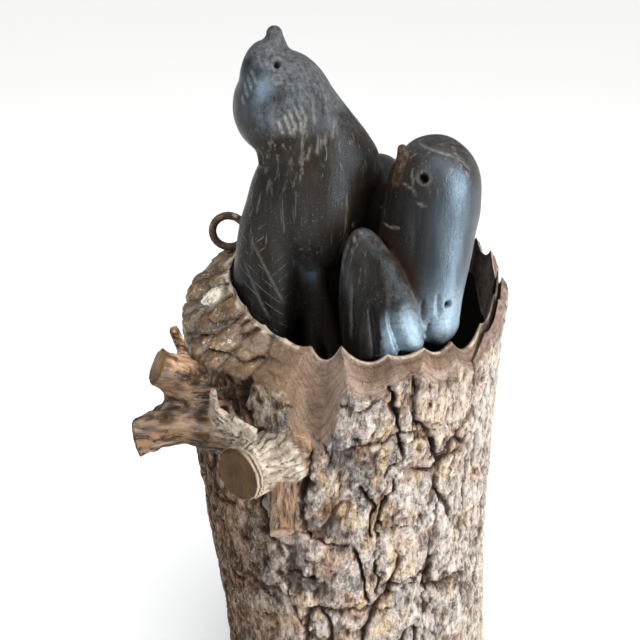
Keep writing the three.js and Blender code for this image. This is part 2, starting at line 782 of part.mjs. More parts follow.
// Where a line from outside first meets a mesh, with the normal there.
function meet(mesh, start, direction) {
  const { point, face } = new THREE.Raycaster(start, direction).intersectObject(mesh)[0];
  return { point, normal: face.normal.clone() };
}

const OUTSIDE = 2 * BLOCK_RADIUS;

function knifeCut(mesh, [width, depth, places]) {
  const meets = places.map(([x, z]) => meet(mesh, vector(x, -OUTSIDE, z), vector(0, 1, 0)));
  return vCut(meets.map(({ point }) => point), meets.map(({ normal }) => normal), width, depth);
}

function pit(mesh, { x, z, behind = false, radius }) {
  const direction = vector(0, behind ? -1 : 1, 0);
  const { point } = meet(mesh, vector(x, -OUTSIDE * direction.y, z), direction);
  return new THREE.SphereGeometry(radius, 8, 6).translate(point.x, point.y, point.z);
}

// What the hollow leaves of the block below the rim: nothing outside its wall or under its floor.
const UNDER_FLOOR = 40;

function hollowWall() {
  const outer = 2 * BLOCK_RADIUS;
  const profile = [
    [BLOCK_RADIUS, -UNDER_FLOOR],
    [outer, -UNDER_FLOOR],
    [outer, RIM_LEVEL],
    [BLOCK_RADIUS, RIM_LEVEL],
    [BLOCK_RADIUS, -UNDER_FLOOR],
  ];
  const wall = new THREE.LatheGeometry(profile.map(([x, y]) => new THREE.Vector2(x, y)), 60);
  return wall.rotateX(Math.PI / 2);
}

function hollowFloor() {
  const floor = new THREE.BoxGeometry(4 * BLOCK_RADIUS, 4 * BLOCK_RADIUS, UNDER_FLOOR);
  return floor.translate(0, 0, -UNDER_FLOOR / 2);
}

function birdsGeometry() {
  let birds = facetedSolid(birdsField);
  for (const added of [...WINGS.map(wing), ...RODS.map(rod)]) {
    birds = birds.add(solidOf(added));
  }
  for (const taken of [hollowWall(), hollowFloor()]) {
    birds = birds.subtract(solidOf(taken));
  }
  const uncut = new THREE.Mesh(geometryOf(birds));
  const cuts = KNIFE_CUTS.map((cut) => knifeCut(uncut, cut));
  const pits = PITS.map((hole) => pit(uncut, hole));
  for (const taken of [...cuts, ...pits]) {
    birds = birds.subtract(solidOf(taken));
  }
  const geometry = geometryOf(birds);
  const fit = (HOLLOW_RADIUS - BIRDS_CLEARANCE) / BLOCK_RADIUS;
  geometry.scale(fit, fit, BIRDS_HEIGHT / BLOCK_HEIGHT);
  return geometry;
}

// The object

const trunk = new THREE.Mesh(logGeometry(), materials.log);
trunk.name = 'trunk';

const birds = new THREE.Mesh(birdsGeometry(), materials.birds);
birds.name = 'birds';
birds.position.set(HOLLOW_X, 0, FLOOR_Z + SEAT_GAP);

const eye = new THREE.Mesh(eyeGeometry(), materials.iron);
eye.name = 'hanging_ring';
eye.position.copy(eyeFoot());

const carving = new THREE.Group();
carving.add(trunk, birds, eye);

export default carving;
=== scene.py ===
# Bird tree carving: how it looks. A length of log with its bark on has been hollowed with a gouge,
# an adult bird and a chick of dark wood stand in it, and a rusty screw eye is set in its rim.
# Sizes in the settings are metres. The shapes are worked out in millimetres, in the same frame.

import math

import bpy
import numpy as np
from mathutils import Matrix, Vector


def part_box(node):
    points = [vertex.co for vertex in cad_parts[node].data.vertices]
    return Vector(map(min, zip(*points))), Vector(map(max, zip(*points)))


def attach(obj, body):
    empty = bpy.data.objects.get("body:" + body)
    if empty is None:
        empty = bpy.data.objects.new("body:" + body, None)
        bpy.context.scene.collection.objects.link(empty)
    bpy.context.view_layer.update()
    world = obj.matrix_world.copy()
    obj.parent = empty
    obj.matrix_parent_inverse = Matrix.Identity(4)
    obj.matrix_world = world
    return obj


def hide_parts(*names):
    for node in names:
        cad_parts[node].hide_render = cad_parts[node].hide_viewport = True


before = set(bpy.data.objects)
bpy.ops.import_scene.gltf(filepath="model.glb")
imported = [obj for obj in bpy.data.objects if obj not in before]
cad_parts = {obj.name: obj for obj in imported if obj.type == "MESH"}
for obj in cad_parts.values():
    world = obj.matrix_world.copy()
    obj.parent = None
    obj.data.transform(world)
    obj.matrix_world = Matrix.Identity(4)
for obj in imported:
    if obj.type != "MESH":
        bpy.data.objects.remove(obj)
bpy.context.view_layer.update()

bl_info = {
    "name": "Bird Tree Carving",
    "version": (1, 0, 0),
    "blender": (4, 5, 0),
    "location": "3D View > Sidebar > Carving",
    "description": "Bark, dark wood and rusty iron for a carving of two birds in a hollow log",
    "category": "Add Mesh",
}

MM = 1000.0
# More than any distance here, and less than any that counts.
FAR = 1e9
TINY = 1e-30


# Sizes and colours that a user would change


def size(name, description, default, low=0.0):
    return bpy.props.FloatProperty(
        name=name,
        description=description,
        default=default,
        min=low,
        subtype="DISTANCE",
        unit="LENGTH",
        precision=5,
    )


def share(name, description, default, high=1.0):
    return bpy.props.FloatProperty(
        name=name, description=description, default=default, min=0.0, max=high, subtype="FACTOR"
    )


def angle(name, description, degrees):
    default = math.radians(degrees)
    return bpy.props.FloatProperty(
        name=name, description=description, default=default, subtype="ANGLE", unit="ROTATION"
    )


def colour(name, description, default):
    return bpy.props.FloatVectorProperty(
        name=name, description=description, default=default, size=3, min=0.0, max=1.0, subtype="COLOR"
    )


def power(name, description, default):
    return bpy.props.FloatProperty(name=name, description=description, default=default, min=0.0)


def count(name, description, default):
    return bpy.props.IntProperty(name=name, description=description, default=default, min=8)


class LogSettings(bpy.types.PropertyGroup):
    """The log: its form, its bark and its colours"""

    height: size("Height", "From the underside to the front of the rim", 0.190)
    base_diameter: size("Base diameter", "Across the underside", 0.117)
    rim_diameter: size("Rim diameter", "Across the bark at the rim", 0.118)
    waist: size("Waist", "How much narrower the log is below its middle", 0.0045)
    bow: size("Bow", "How far the log swings to the left two thirds of the way up", 0.0028)
    lean: size("Lean", "How far the top stands to the left of the base", 0.0086)
    lump: size("Lump", "How far the log's round swells and sinks", 0.0011)
    wall: size("Wall", "Between the hollow and the bark at the rim, on average", 0.0108)
    hollow_depth: size("Hollow depth", "From the front of the rim to the floor", 0.080)
    hollow_shift: size("Hollow shift", "To the right of the log's centre at the rim", 0.0066)
    lip: size("Lip", "Thickness of the edge that the gouge leaves", 0.0008)
    rim_rise: size("Rim rise", "How much higher the rim is at the back", 0.013)
    gouge_radius: size("Gouge radius", "Of the cuts round the rim", 0.008)
    chamfer: share("Chamfer", "How fast the left wall narrows towards its top", 0.44)
    bark_depth: size("Bark depth", "Depth of the cracks that run up the bark", 0.0021)
    crack_width: size("Crack width", "Of the split between wood and bark", 0.0017)
    crack_depth: size("Crack depth", "Of the split between wood and bark", 0.024)
    bark_thickness: size("Bark thickness", "Outside the split", 0.003)
    columns: count("Columns", "Faces round the log", 410)
    cell: size("Stub cell", "Size of the faces of the branch stubs", 0.0016)
    bark_grey: colour("Bark grey", "The bark's main colour", (0.40, 0.33, 0.285))
    # Also painted light: besides the real pale patches, the bark's right side is mixed towards this colour
    # for the light that falls there.
    bark_cream_and_painted_light: colour("Bark cream", "Its worn, pale ridges", (0.77, 0.71, 0.655))
    # Painted shade: the bark's left side is coloured this dark olive for the shade that falls there.
    bark_painted_shade: colour("Bark olive", "Its shaded left side", (0.085, 0.045, 0.021))
    bark_ochre: colour("Bark ochre", "Patches where the skin has gone", (0.76, 0.54, 0.28))
    bark_rose: colour("Bark rose", "Reddish patches", (0.56, 0.36, 0.26))
    bark_blue: colour("Bark blue", "Cool grey patches", (0.25, 0.24, 0.24))
    # Painted shade: the near black that stands for the shade deep in the cracks and furrows.
    bark_furrow: colour("Bark furrow", "The bottom of the furrows", (0.040, 0.026, 0.018))
    cut_brown: colour("Cut brown", "The gouge cuts at the left", (0.180, 0.105, 0.052))
    cut_pale: colour("Cut pale", "The gouge cuts at the right", (0.42, 0.325, 0.26))
    # Painted shade: the hollow is coloured near black for the shade inside it.
    inside: colour("Inside", "The wall of the hollow", (0.020, 0.009, 0.004))
    stub_brown: colour("Stub brown", "The sides of the sawn branches", (0.36, 0.215, 0.120))
    stub_end: colour("Stub end", "The cut faces of the branches", (0.135, 0.066, 0.016))
    collar: colour("Collar", "The pale fibres round the thick branch", (0.92, 0.80, 0.66))


class BirdSettings(bpy.types.PropertyGroup):
    """The two birds: their form, their cuts and their colours"""

    clearance: size("Clearance", "Between the birds and the wall of the hollow", 0.0006)
    fine: size("Fine", "Size of the faces where the birds show", 0.00066, 0.0003)
    coarse: size("Coarse", "Size of the faces behind and below", 0.0017, 0.0003)
    cut_depth: share("Cut depth", "Share of each knife cut's full depth", 1.0, 2.0)
    black: colour("Black", "The stained wood", (0.0100, 0.0078, 0.0060))
    # Also painted sheen: besides real rubbing, the tops of the forms and the adult's head are mixed
    # towards this bluish grey for the sky's sheen.
    worn: colour("Worn", "Where the stain is rubbed", (0.096, 0.104, 0.113))
    brown: colour("Brown", "In the valleys between the forms", (0.019, 0.0105, 0.0055))
    scratch: colour("Scratch", "Fresh scratches and the insides of fine cuts", (0.34, 0.31, 0.27))


class RingSettings(bpy.types.PropertyGroup):
    """The screw eye"""

    diameter: size("Diameter", "Across the ring", 0.0154)
    wire: size("Wire", "Thickness of the wire", 0.0031)
    shank: size("Shank", "Length below the ring", 0.016)
    steps: count("Steps", "Faces round the ring", 96)
    rust: colour("Rust", "The iron's main colour", (0.085, 0.048, 0.030))
    worn: colour("Worn", "Bare metal on the high spots", (0.34, 0.30, 0.27))


class StageSettings(bpy.types.PropertyGroup):
    """The camera, the lights and the floor"""

    target: bpy.props.FloatVectorProperty(
        name="Target",
        description="The point that the camera looks at",
        default=(-0.0176, 0.0, 0.180),
        size=3,
        subtype="XYZ",
        unit="LENGTH",
    )
    distance: size("Distance", "From the camera to the target", 0.330)
    elevation: angle("Elevation", "Of the camera above the target", 25)
    field: angle("Field of view", "Across the picture", 40)
    floor: colour("Floor", "The floor's colour", (0.93, 0.93, 0.925))
    window: power("Window", "Power of the tall lamp at the right, in watts", 10.5)
    side: power("Side light", "Power of the small lamp at the upper left, in watts", 4.2)
    overhead: power("Overhead", "Strength of the soft light from above", 2.3)
    sky: power("Sky", "Strength of the even light", 0.34)


# Noise


def ease(t):
    """Slow at 0 and at 1, and fast in between."""
    return t * t * (3 - 2 * t)


def ramp(value, low, high):
    """0 up to low, 1 from high, and smooth in between."""
    return ease(np.clip((value - low) / (high - low), 0, 1))


# Steps after which a noise repeats: up a plane, and along each axis of space.
NOISE_ROWS = 97
NOISE_BLOCK = 31


def noise2(x, y, seed, wrap=64):
    """Smooth noise from -1 to 1 over a plane, which repeats after wrap steps along x."""
    table = np.random.default_rng(seed).random((wrap, NOISE_ROWS)) * 2 - 1
    i, j = np.floor(x).astype(int), np.floor(y).astype(int)
    s, t = ease(x - i), ease(y - j)
    i0, i1, j0, j1 = i % wrap, (i + 1) % wrap, j % NOISE_ROWS, (j + 1) % NOISE_ROWS
    low = table[i0, j0] * (1 - s) + table[i1, j0] * s
    high = table[i0, j1] * (1 - s) + table[i1, j1] * s
    return low * (1 - t) + high * t


def round_noise(angle, height, columns, step, seed):
    """Noise round the log, with that many columns of swells, and step millimetres between its rows."""
    return noise2(angle / (2 * math.pi) * columns, height / step, seed, columns)


def noise3(points, scale, seed):
    """Smooth noise from -1 to 1 in space, with swells about scale apart."""
    table = np.random.default_rng(seed).random((NOISE_BLOCK,) * 3) * 2 - 1
    p = points / scale
    i = np.floor(p).astype(int)
    f = ease(p - i)
    total = 0
    for corner in np.ndindex(2, 2, 2):
        weight = np.prod(np.where(corner, f, 1 - f), axis=-1)
        place = (i + corner) % NOISE_BLOCK
        total = total + weight * table[place[..., 0], place[..., 1], place[..., 2]]
    return total


def facets(x, y, seed, wrap):
    """Domed, tilted facets over a plane: how far they stand out, and how far their edges are."""
    table = np.random.default_rng(seed).random((wrap, NOISE_ROWS, 4))
    i, j = np.floor(x).astype(int), np.floor(y).astype(int)
    nearest = second = np.full(x.shape, FAR)
    tilt = np.zeros(x.shape)
    for di, dj in np.ndindex(3, 3):
        place = table[(i + di - 1) % wrap, (j + dj - 1) % NOISE_ROWS]
        across = i + di - 0.9 + 0.8 * place[..., 0] - x
        along = j + dj - 0.9 + 0.8 * place[..., 1] - y
        reach = np.hypot(across, along)
        lean = (2 * place[..., 2] - 1) * across + (2 * place[..., 3] - 0.6) * along
        tilt = np.where(reach < nearest, lean, tilt)
        second = np.minimum(second, np.maximum(nearest, reach))
        nearest = np.minimum(nearest, reach)
    gap = second - nearest
    return (0.6 * tilt - (nearest / 0.8) ** 2) * ramp(gap, 0, 0.1) - 0.9 * ramp(gap, 0.22, 0.0), gap


def near_path(x, y, path):
    """Distance to a path in a plane, and where along it the nearest place is, from 0 to 1."""
    best = np.full(x.shape, FAR)
    along = np.zeros(x.shape)
    lengths = [math.hypot(b[0] - a[0], b[1] - a[1]) for a, b in zip(path, path[1:])]
    total = sum(lengths)
    done = 0.0
    for (ax, ay), (bx, by), length in zip(path, path[1:], lengths):
        t = np.clip(((x - ax) * (bx - ax) + (y - ay) * (by - ay)) / length**2, 0, 1)
        d = np.hypot(x - ax - t * (bx - ax), y - ay - t * (by - ay))
        along = np.where(d < best, (done + t * length) / total, along)
        best = np.minimum(best, d)
        done += length
    return best, along


# Meshes


def make_piece(name, points, faces, material):
    """A mesh piece from points in millimetres and lists of faces that have the same number of corners."""
    mesh = bpy.data.meshes.new(name)
    corners = np.concatenate([np.asarray(part).ravel() for part in faces])
    sizes = np.concatenate([np.full(len(part), np.asarray(part).shape[1]) for part in faces])
    starts = np.concatenate([[0], np.cumsum(sizes)[:-1]])
    mesh.vertices.add(len(points))
    mesh.vertices.foreach_set("co", np.asarray(points, np.float32).ravel() / MM)
    mesh.loops.add(len(corners))
    mesh.loops.foreach_set("vertex_index", corners.astype(np.int32))
    mesh.polygons.add(len(sizes))
    mesh.polygons.foreach_set("loop_start", starts.astype(np.int32))
    mesh.update(calc_edges=True)
    mesh.validate()
    mesh.shade_smooth()
    piece = bpy.data.objects.new(name, mesh)
    bpy.context.scene.collection.objects.link(piece)
    piece.data.materials.append(material)
    return piece


def points_of(mesh):
    """A mesh's points in millimetres."""
    flat = np.empty(3 * len(mesh.vertices), np.float32)
    mesh.vertices.foreach_get("co", flat)
    return flat.reshape(-1, 3).astype(float) * MM


def paint(mesh, **masks):
    """Keeps numbers for each point, which the material reads by name."""
    for name, values in masks.items():
        layer = mesh.attributes.new(name, "FLOAT", "POINT")
        layer.data.foreach_set("value", np.asarray(values, np.float32))


def cut_with(piece, tool, operation):
    """Joins or cuts a piece with a tool, and deletes the tool."""
    modifier = piece.modifiers.new(operation.title(), "BOOLEAN")
    modifier.operation = operation
    modifier.solver = "MANIFOLD"
    modifier.object = tool
    before = len(piece.data.vertices)
    bpy.context.view_layer.objects.active = piece
    bpy.ops.object.modifier_apply(modifier=modifier.name)
    bpy.data.objects.remove(tool)
    if len(piece.data.vertices) in (0, before):
        raise RuntimeError(f"{piece.name} wasn't changed by its {operation.lower()}")


def finish_piece(piece, node):
    """Tells the frame which node a piece dresses."""
    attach(piece, "root")
    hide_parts(node)


def stack_faces(rows, columns):
    """Quads between the rings of a stack, each ring closed on itself."""
    at = np.arange(rows * columns).reshape(rows, columns)
    after = np.roll(at, -1, axis=1)
    return np.stack([at[:-1], after[:-1], after[1:], at[1:]], -1).reshape(-1, 4)


def fan(ring, centre, outward):
    """Triangles from a ring of points to its centre."""
    after = np.roll(ring, -1)
    order = (ring, after) if outward else (after, ring)
    return np.stack([*order, np.full(len(ring), centre)], -1)


def skin(first, rings, last):
    """Points and faces of a closed stack of rings, which run counter-clockwise about the way it goes."""
    rows, columns = rings.shape[:2]
    points = np.concatenate([rings.reshape(-1, 3), [first], [last]])
    ends = (np.arange(columns), np.arange(columns) + (rows - 1) * columns)
    faces = [
        stack_faces(rows, columns),
        np.concatenate([fan(ends[0], len(points) - 2, False), fan(ends[1], len(points) - 1, True)]),
    ]
    return points, faces


# Fields: how far points are from a surface, less than 0 inside it


def unit(v):
    """The same direction, 1 long."""
    v = np.asarray(v, float)
    return v / np.linalg.norm(v)


def away(p, place=0):
    """Distance from each point to a place."""
    return np.linalg.norm(p - place, axis=-1)


def blend(a, b, fillet):
    """Joins two forms, with a fillet between them."""
    overlap = np.maximum(fillet - np.abs(a - b), 0) / fillet
    return np.minimum(a, b) - overlap * overlap * fillet / 4


def egg(p, centre, radii, lean=(0, 0, 1)):
    """An egg whose third radius runs along lean."""
    up = unit(lean)
    out = unit(np.array([0, -1, 0]) + up[1] * up)
    side = np.cross(out, up)
    q = p - np.asarray(centre, float)
    local = np.stack([q @ side, q @ out, q @ up], -1)
    near = away(local / radii)
    pull = away(local / np.square(radii))
    return near * (near - 1) / np.maximum(pull, 1e-9)


def to_line(p, start, end):
    """Distance to the line from start to end, and where along it the nearest place is, from 0 to 1."""
    along = end - start
    t = np.clip((p - start) @ along / (along @ along), 0, 1)
    return away(p - start, t[..., None] * along), t


def limb(p, start, end, start_radius, end_radius):
    """A round cone between two points."""
    reach, t = to_line(p, np.asarray(start, float), np.asarray(end, float))
    return reach - end_radius - (start_radius - end_radius) * (1 - t)


def wing(p, root, tip, out, width, thick, full, bend, blunt):
    """A folded wing: a curved lens from root to tip, widest at the share full of its length."""
    root, tip = np.asarray(root, float), np.asarray(tip, float)
    length = np.linalg.norm(tip - root)
    along = (tip - root) / length
    face = unit(np.asarray(out, float) - np.dot(out, along) * along)
    side = np.cross(along, face)
    q = p - root
    t = (q @ along) / length
    s = q @ side
    n = q @ face + bend * s * s
    inner = np.clip(t, 1e-4, 1 - 1e-4)
    end = blunt * (1 - full) / full
    widest = full**blunt * (1 - full) ** end
    half = np.maximum(width * inner**blunt * (1 - inner) ** end / widest, 0.02)
    depth = np.maximum(thick * np.sqrt(np.clip(half / width, 0, 1)), 0.02)
    body = (np.hypot(s / half, n / depth) - 1) * np.minimum(half, depth)
    return np.maximum(body, np.maximum(-t, t - 1) * length)


def triangle(p, a, b, c, thickness):
    """The field of a thin plate with three corners."""
    a, b, c = (np.asarray(v, float) for v in (a, b, c))
    normal = unit(np.cross(b - a, c - a))
    height = (p - a) @ normal
    flat = p - height[..., None] * normal
    inside = np.ones(p.shape[:-1], bool)
    edge = np.full(p.shape[:-1], FAR)
    for start, stop in ((a, b), (b, c), (c, a)):
        edge = np.minimum(edge, to_line(p, start, stop)[0])
        inside &= np.cross(stop - start, flat - start) @ normal >= 0
    return np.where(inside, np.abs(height), edge) - thickness / 2


def slope(field, p, step=0.05):
    """The field's steepest way up at each point."""
    parts = []
    for axis in range(3):
        move = np.zeros(3)
        move[axis] = step
        parts.append((field(p + move) - field(p - move)) / (2 * step))
    return np.stack(parts, -1)


def settle(field, points):
    """Moves points that lie near a surface onto it."""
    for _ in range(2):
        up = slope(field, points)
        step = -field(points) / np.maximum((up * up).sum(-1), 0.05)
        points = points + up * np.clip(step, -1, 1)[:, None]
    return points


# How often a grid is moved before it is given up, and how far, as a share of its first cell.
GRID_MOVES = 8
GRID_MOVE = 0.11

CORNERS = [(i & 1, i >> 1 & 1, i >> 2 & 1) for i in range(8)]
EDGES = [(axis, corner) for axis in range(3) for corner in CORNERS if corner[axis] == 0]


def sheet_table():
    """Which sheet of a surface crosses each edge of a cell, for each set of its corners that is inside."""
    ends = [(corner, tuple(c + (n == axis) for n, c in enumerate(corner))) for axis, corner in EDGES]
    sides = []
    for axis, side in np.ndindex(3, 2):
        sides.append([n for n, (a, b) in enumerate(ends) if a[axis] == b[axis] == side])
    table = np.full((256, 12), -1)
    for case in range(256):
        inside = {corner: bool(case >> n & 1) for n, corner in enumerate(CORNERS)}
        sheet = {n: n for n, (a, b) in enumerate(ends) if inside[a] != inside[b]}
        for side in sides:
            cut = [n for n in side if n in sheet]
            pairs = [cut] if len(cut) == 2 else []
            if len(cut) == 4:
                pairs = [[n for n in cut if corner in ends[n]] for corner in CORNERS if inside[corner]]
            for a, b in [pair for pair in pairs if len(pair) == 2]:
                old, new = sheet[a], sheet[b]
                sheet = {n: new if value == old else value for n, value in sheet.items()}
        for n, value in sheet.items():
            table[case, n] = sorted(set(sheet.values())).index(value)
    return table


def wrap_once(field, axes, table):
    """Quads over the surface of a field: one point for each sheet in each grid cell that it crosses."""
    grid = np.stack(np.meshgrid(*axes, indexing="ij"), -1)
    value = field(grid.reshape(-1, 3)).reshape(grid.shape[:3])
    inside = value < 0
    cells = tuple(n - 1 for n in value.shape)
    case = np.zeros(cells, int)
    for bit, corner in enumerate(CORNERS):
        case += inside[tuple(slice(c, c + n) for c, n in zip(corner, cells))].astype(int) << bit
    keys, places, quads = [], [], []
    for axis in range(3):
        low = [slice(None)] * 3
        high = [slice(None)] * 3
        low[axis], high[axis] = slice(None, -1), slice(1, None)
        start = np.argwhere(inside[tuple(low)] != inside[tuple(high)])
        stop = start + np.eye(3, dtype=int)[axis]
        a, b = value[tuple(start.T)], value[tuple(stop.T)]
        t = (a / (a - b))[:, None]
        place = grid[tuple(start.T)] * (1 - t) + grid[tuple(stop.T)] * t
        round_edge = []
        for i, j in ((0, 0), (1, 0), (1, 1), (0, 1)):
            back = np.insert([i, j], axis, 0)
            cell = np.ravel_multi_index((start - back).T, cells)
            number = EDGES.index((axis, tuple(back.tolist())))
            round_edge.append(cell * 4 + table[case.ravel()[cell], number])
            places.append(place)
        keys += round_edge
        quad = np.stack(round_edge, -1)
        outward = (a < 0) != (axis == 1)
        quads.append(np.where(outward[:, None], quad, quad[:, ::-1]))
    names, back = np.unique(np.concatenate(keys), return_inverse=True)
    places = np.concatenate(places)
    crossings = np.bincount(back)
    points = np.stack([np.bincount(back, places[:, n]) / crossings for n in range(3)], -1)
    return points, np.searchsorted(names, np.concatenate(quads))


def wrap_field(field, axes):
    """Wraps a field, and moves the grid a little if it pinches the surface."""
    table = sheet_table()
    for move in range(GRID_MOVES):
        moved = [axis + GRID_MOVE * move * (axis[1] - axis[0]) for axis in axes]
        points, quads = wrap_once(field, moved, table)
        edges = quads.astype(np.int64) * len(points) + np.roll(quads, -1, axis=1)
        if len(np.unique(edges)) == edges.size:
            return points, quads
    raise RuntimeError("the surface is pinched wherever the grid stands")


def smooth_skin(field, axes):
    """Points, quads and normals of a field's surface, on a grid and then twice as fine."""
    points, quads = wrap_field(field, axes)
    points, quads = divide(settle(field, points), quads)
    points = settle(field, points)
    normals = slope(field, points)
    normals /= np.maximum(np.linalg.norm(normals, axis=-1, keepdims=True), TINY)
    return points, quads, normals


def divide(points, quads):
    """Cuts each quad into four."""
    pairs = np.stack([quads, np.roll(quads, -1, axis=1)], -1)
    low, high = pairs.min(-1).ravel(), pairs.max(-1).ravel()
    keys, back = np.unique(low.astype(np.int64) * len(points) + high, return_inverse=True)
    middles = (points[keys // len(points)] + points[keys % len(points)]) / 2
    centres = points[quads].mean(axis=1)
    middle = back.reshape(-1, 4) + len(points)
    centre = np.arange(len(quads)) + len(points) + len(keys)
    parts = [np.stack([quads[:, i], middle[:, i], centre, middle[:, i - 1]], -1) for i in range(4)]
    return np.concatenate([points, middles, centres]), np.concatenate(parts)


# Log: its round, its rim and its bark

# The cuts that show: place in degrees round the hollow, height of the lip above the front of the
# rim, and length down the bark.
RIM_CUTS = [
    (-196, 12.2, 1.5),
    (-180, 11.6, 1.8),
    (-165, 10.0, 6.0),
    (-150, 7.6, 12.0),
    (-138, 4.3, 13.0),
    (-127, 2.4, 13.0),
    (-117, 0.8, 12.0),
    (-107, -2.2, 34.0),
    (-90, -1.9, 11.0),
    (-77, -0.4, 6.0),
    (-62, -1.2, 12.0),
    (-47, -3.5, 8.0),
    (-33, 1.8, 7.5),
    (-18, 7.5, 6.2),
    (0, 6.8, 5.7),
    (17, 11.0, 6.2),
]
# The even row at the back: degrees between the cuts, and how far they run out for each millimetre down.
BACK_CUT_PITCH = 16
BACK_CUT_SLOPE = 0.9
# The middle of the smooth wall at the left, in degrees round the hollow, and the height of its foot.
LEFT_WALL = -160
WALL_FOOT = 176
# The middle of the fibrous bark at the right, in degrees round the hollow.
FIBROUS_SIDE = -28
# How far the bark stays inside its even round, and how much of its relief that stands out is kept.
BARK_INSET = 0.03
BARK_PROUD = 0.27
# Rings of points: up the foot and the bark above it, over the cuts and down the wall of the hollow.
# The foot is this share of the bark's height, and the photograph doesn't show it.
FOOT_ROWS, BARK_ROWS, CUT_ROWS, WALL_ROWS = 34, 128, 27, 14
FOOT_SHARE = 0.38
# The split between wood and bark: its start and end in degrees round the hollow, its steps, and
# how far the tool that cuts it stands above the front of the rim.
SPLIT_START, SPLIT_END, SPLIT_STEPS = -52, 30, 60
SPLIT_ABOVE = 26

# Deep furrows: places in degrees round the log and millimetres up it, then width and depth.
FURROWS = [
    ([(-76, 185), (-76, 177), (-73, 167), (-72, 160), (-69, 152)], 1.9, 3.0),
    ([(-70, 186), (-69, 176), (-67, 168), (-66, 158)], 1.0, 1.4),
    ([(-78, 148), (-74, 152), (-69, 152)], 1.3, 2.2),
    ([(-68, 149), (-62, 147), (-57, 146), (-51, 148), (-42, 149)], 1.5, 2.2),
    ([(-60, 160), (-58, 152), (-60, 149)], 1.5, 2.2),
    ([(-42, 149), (-47, 155), (-52, 158)], 1.3, 2.0),
    ([(-57, 146), (-57, 138), (-51, 129), (-48, 118)], 2.0, 2.0),
    ([(-86, 147), (-82, 139), (-80, 136), (-82, 133), (-82, 122)], 1.4, 2.4),
    ([(-73, 149), (-73, 141), (-78, 135), (-79, 126), (-80, 121)], 1.3, 2.2),
    ([(-77, 125), (-72, 126), (-62, 123)], 1.1, 1.6),
    ([(-91, 167), (-86, 162), (-82, 162)], 1.0, 1.4),
    ([(-102, 161), (-103, 149), (-105, 137)], 2.2, 2.4),
    ([(-113, 161), (-113, 148), (-114, 134)], 2.6, 2.8),
    ([(-125, 156), (-124, 146), (-124, 136)], 2.2, 2.6),
    ([(-127, 188), (-125, 181), (-126, 172), (-123, 165)], 2.2, 2.6),
    ([(-137, 184), (-134, 175), (-135, 168)], 1.6, 2.0),
    ([(-119, 103), (-109, 106), (-100, 104)], 1.4, 2.4),
    ([(-114, 103), (-112, 91), (-108, 79)], 1.2, 1.8),
    ([(-131, 93), (-122, 91), (-118, 92)], 1.2, 1.8),
    ([(-82, 99), (-73, 100), (-62, 101), (-55, 110)], 1.1, 1.9),
    ([(-82, 95), (-72, 97), (-63, 98)], 0.9, 1.4),
    ([(-107, 124), (-98, 121), (-88, 120)], 1.1, 1.8),
    ([(-88, 120), (-86, 109), (-84, 93)], 1.9, 2.8),
    ([(-80, 118), (-80, 108), (-81, 96)], 1.3, 2.0),
    ([(-57, 101), (-60, 92), (-62, 80)], 1.6, 1.8),
]


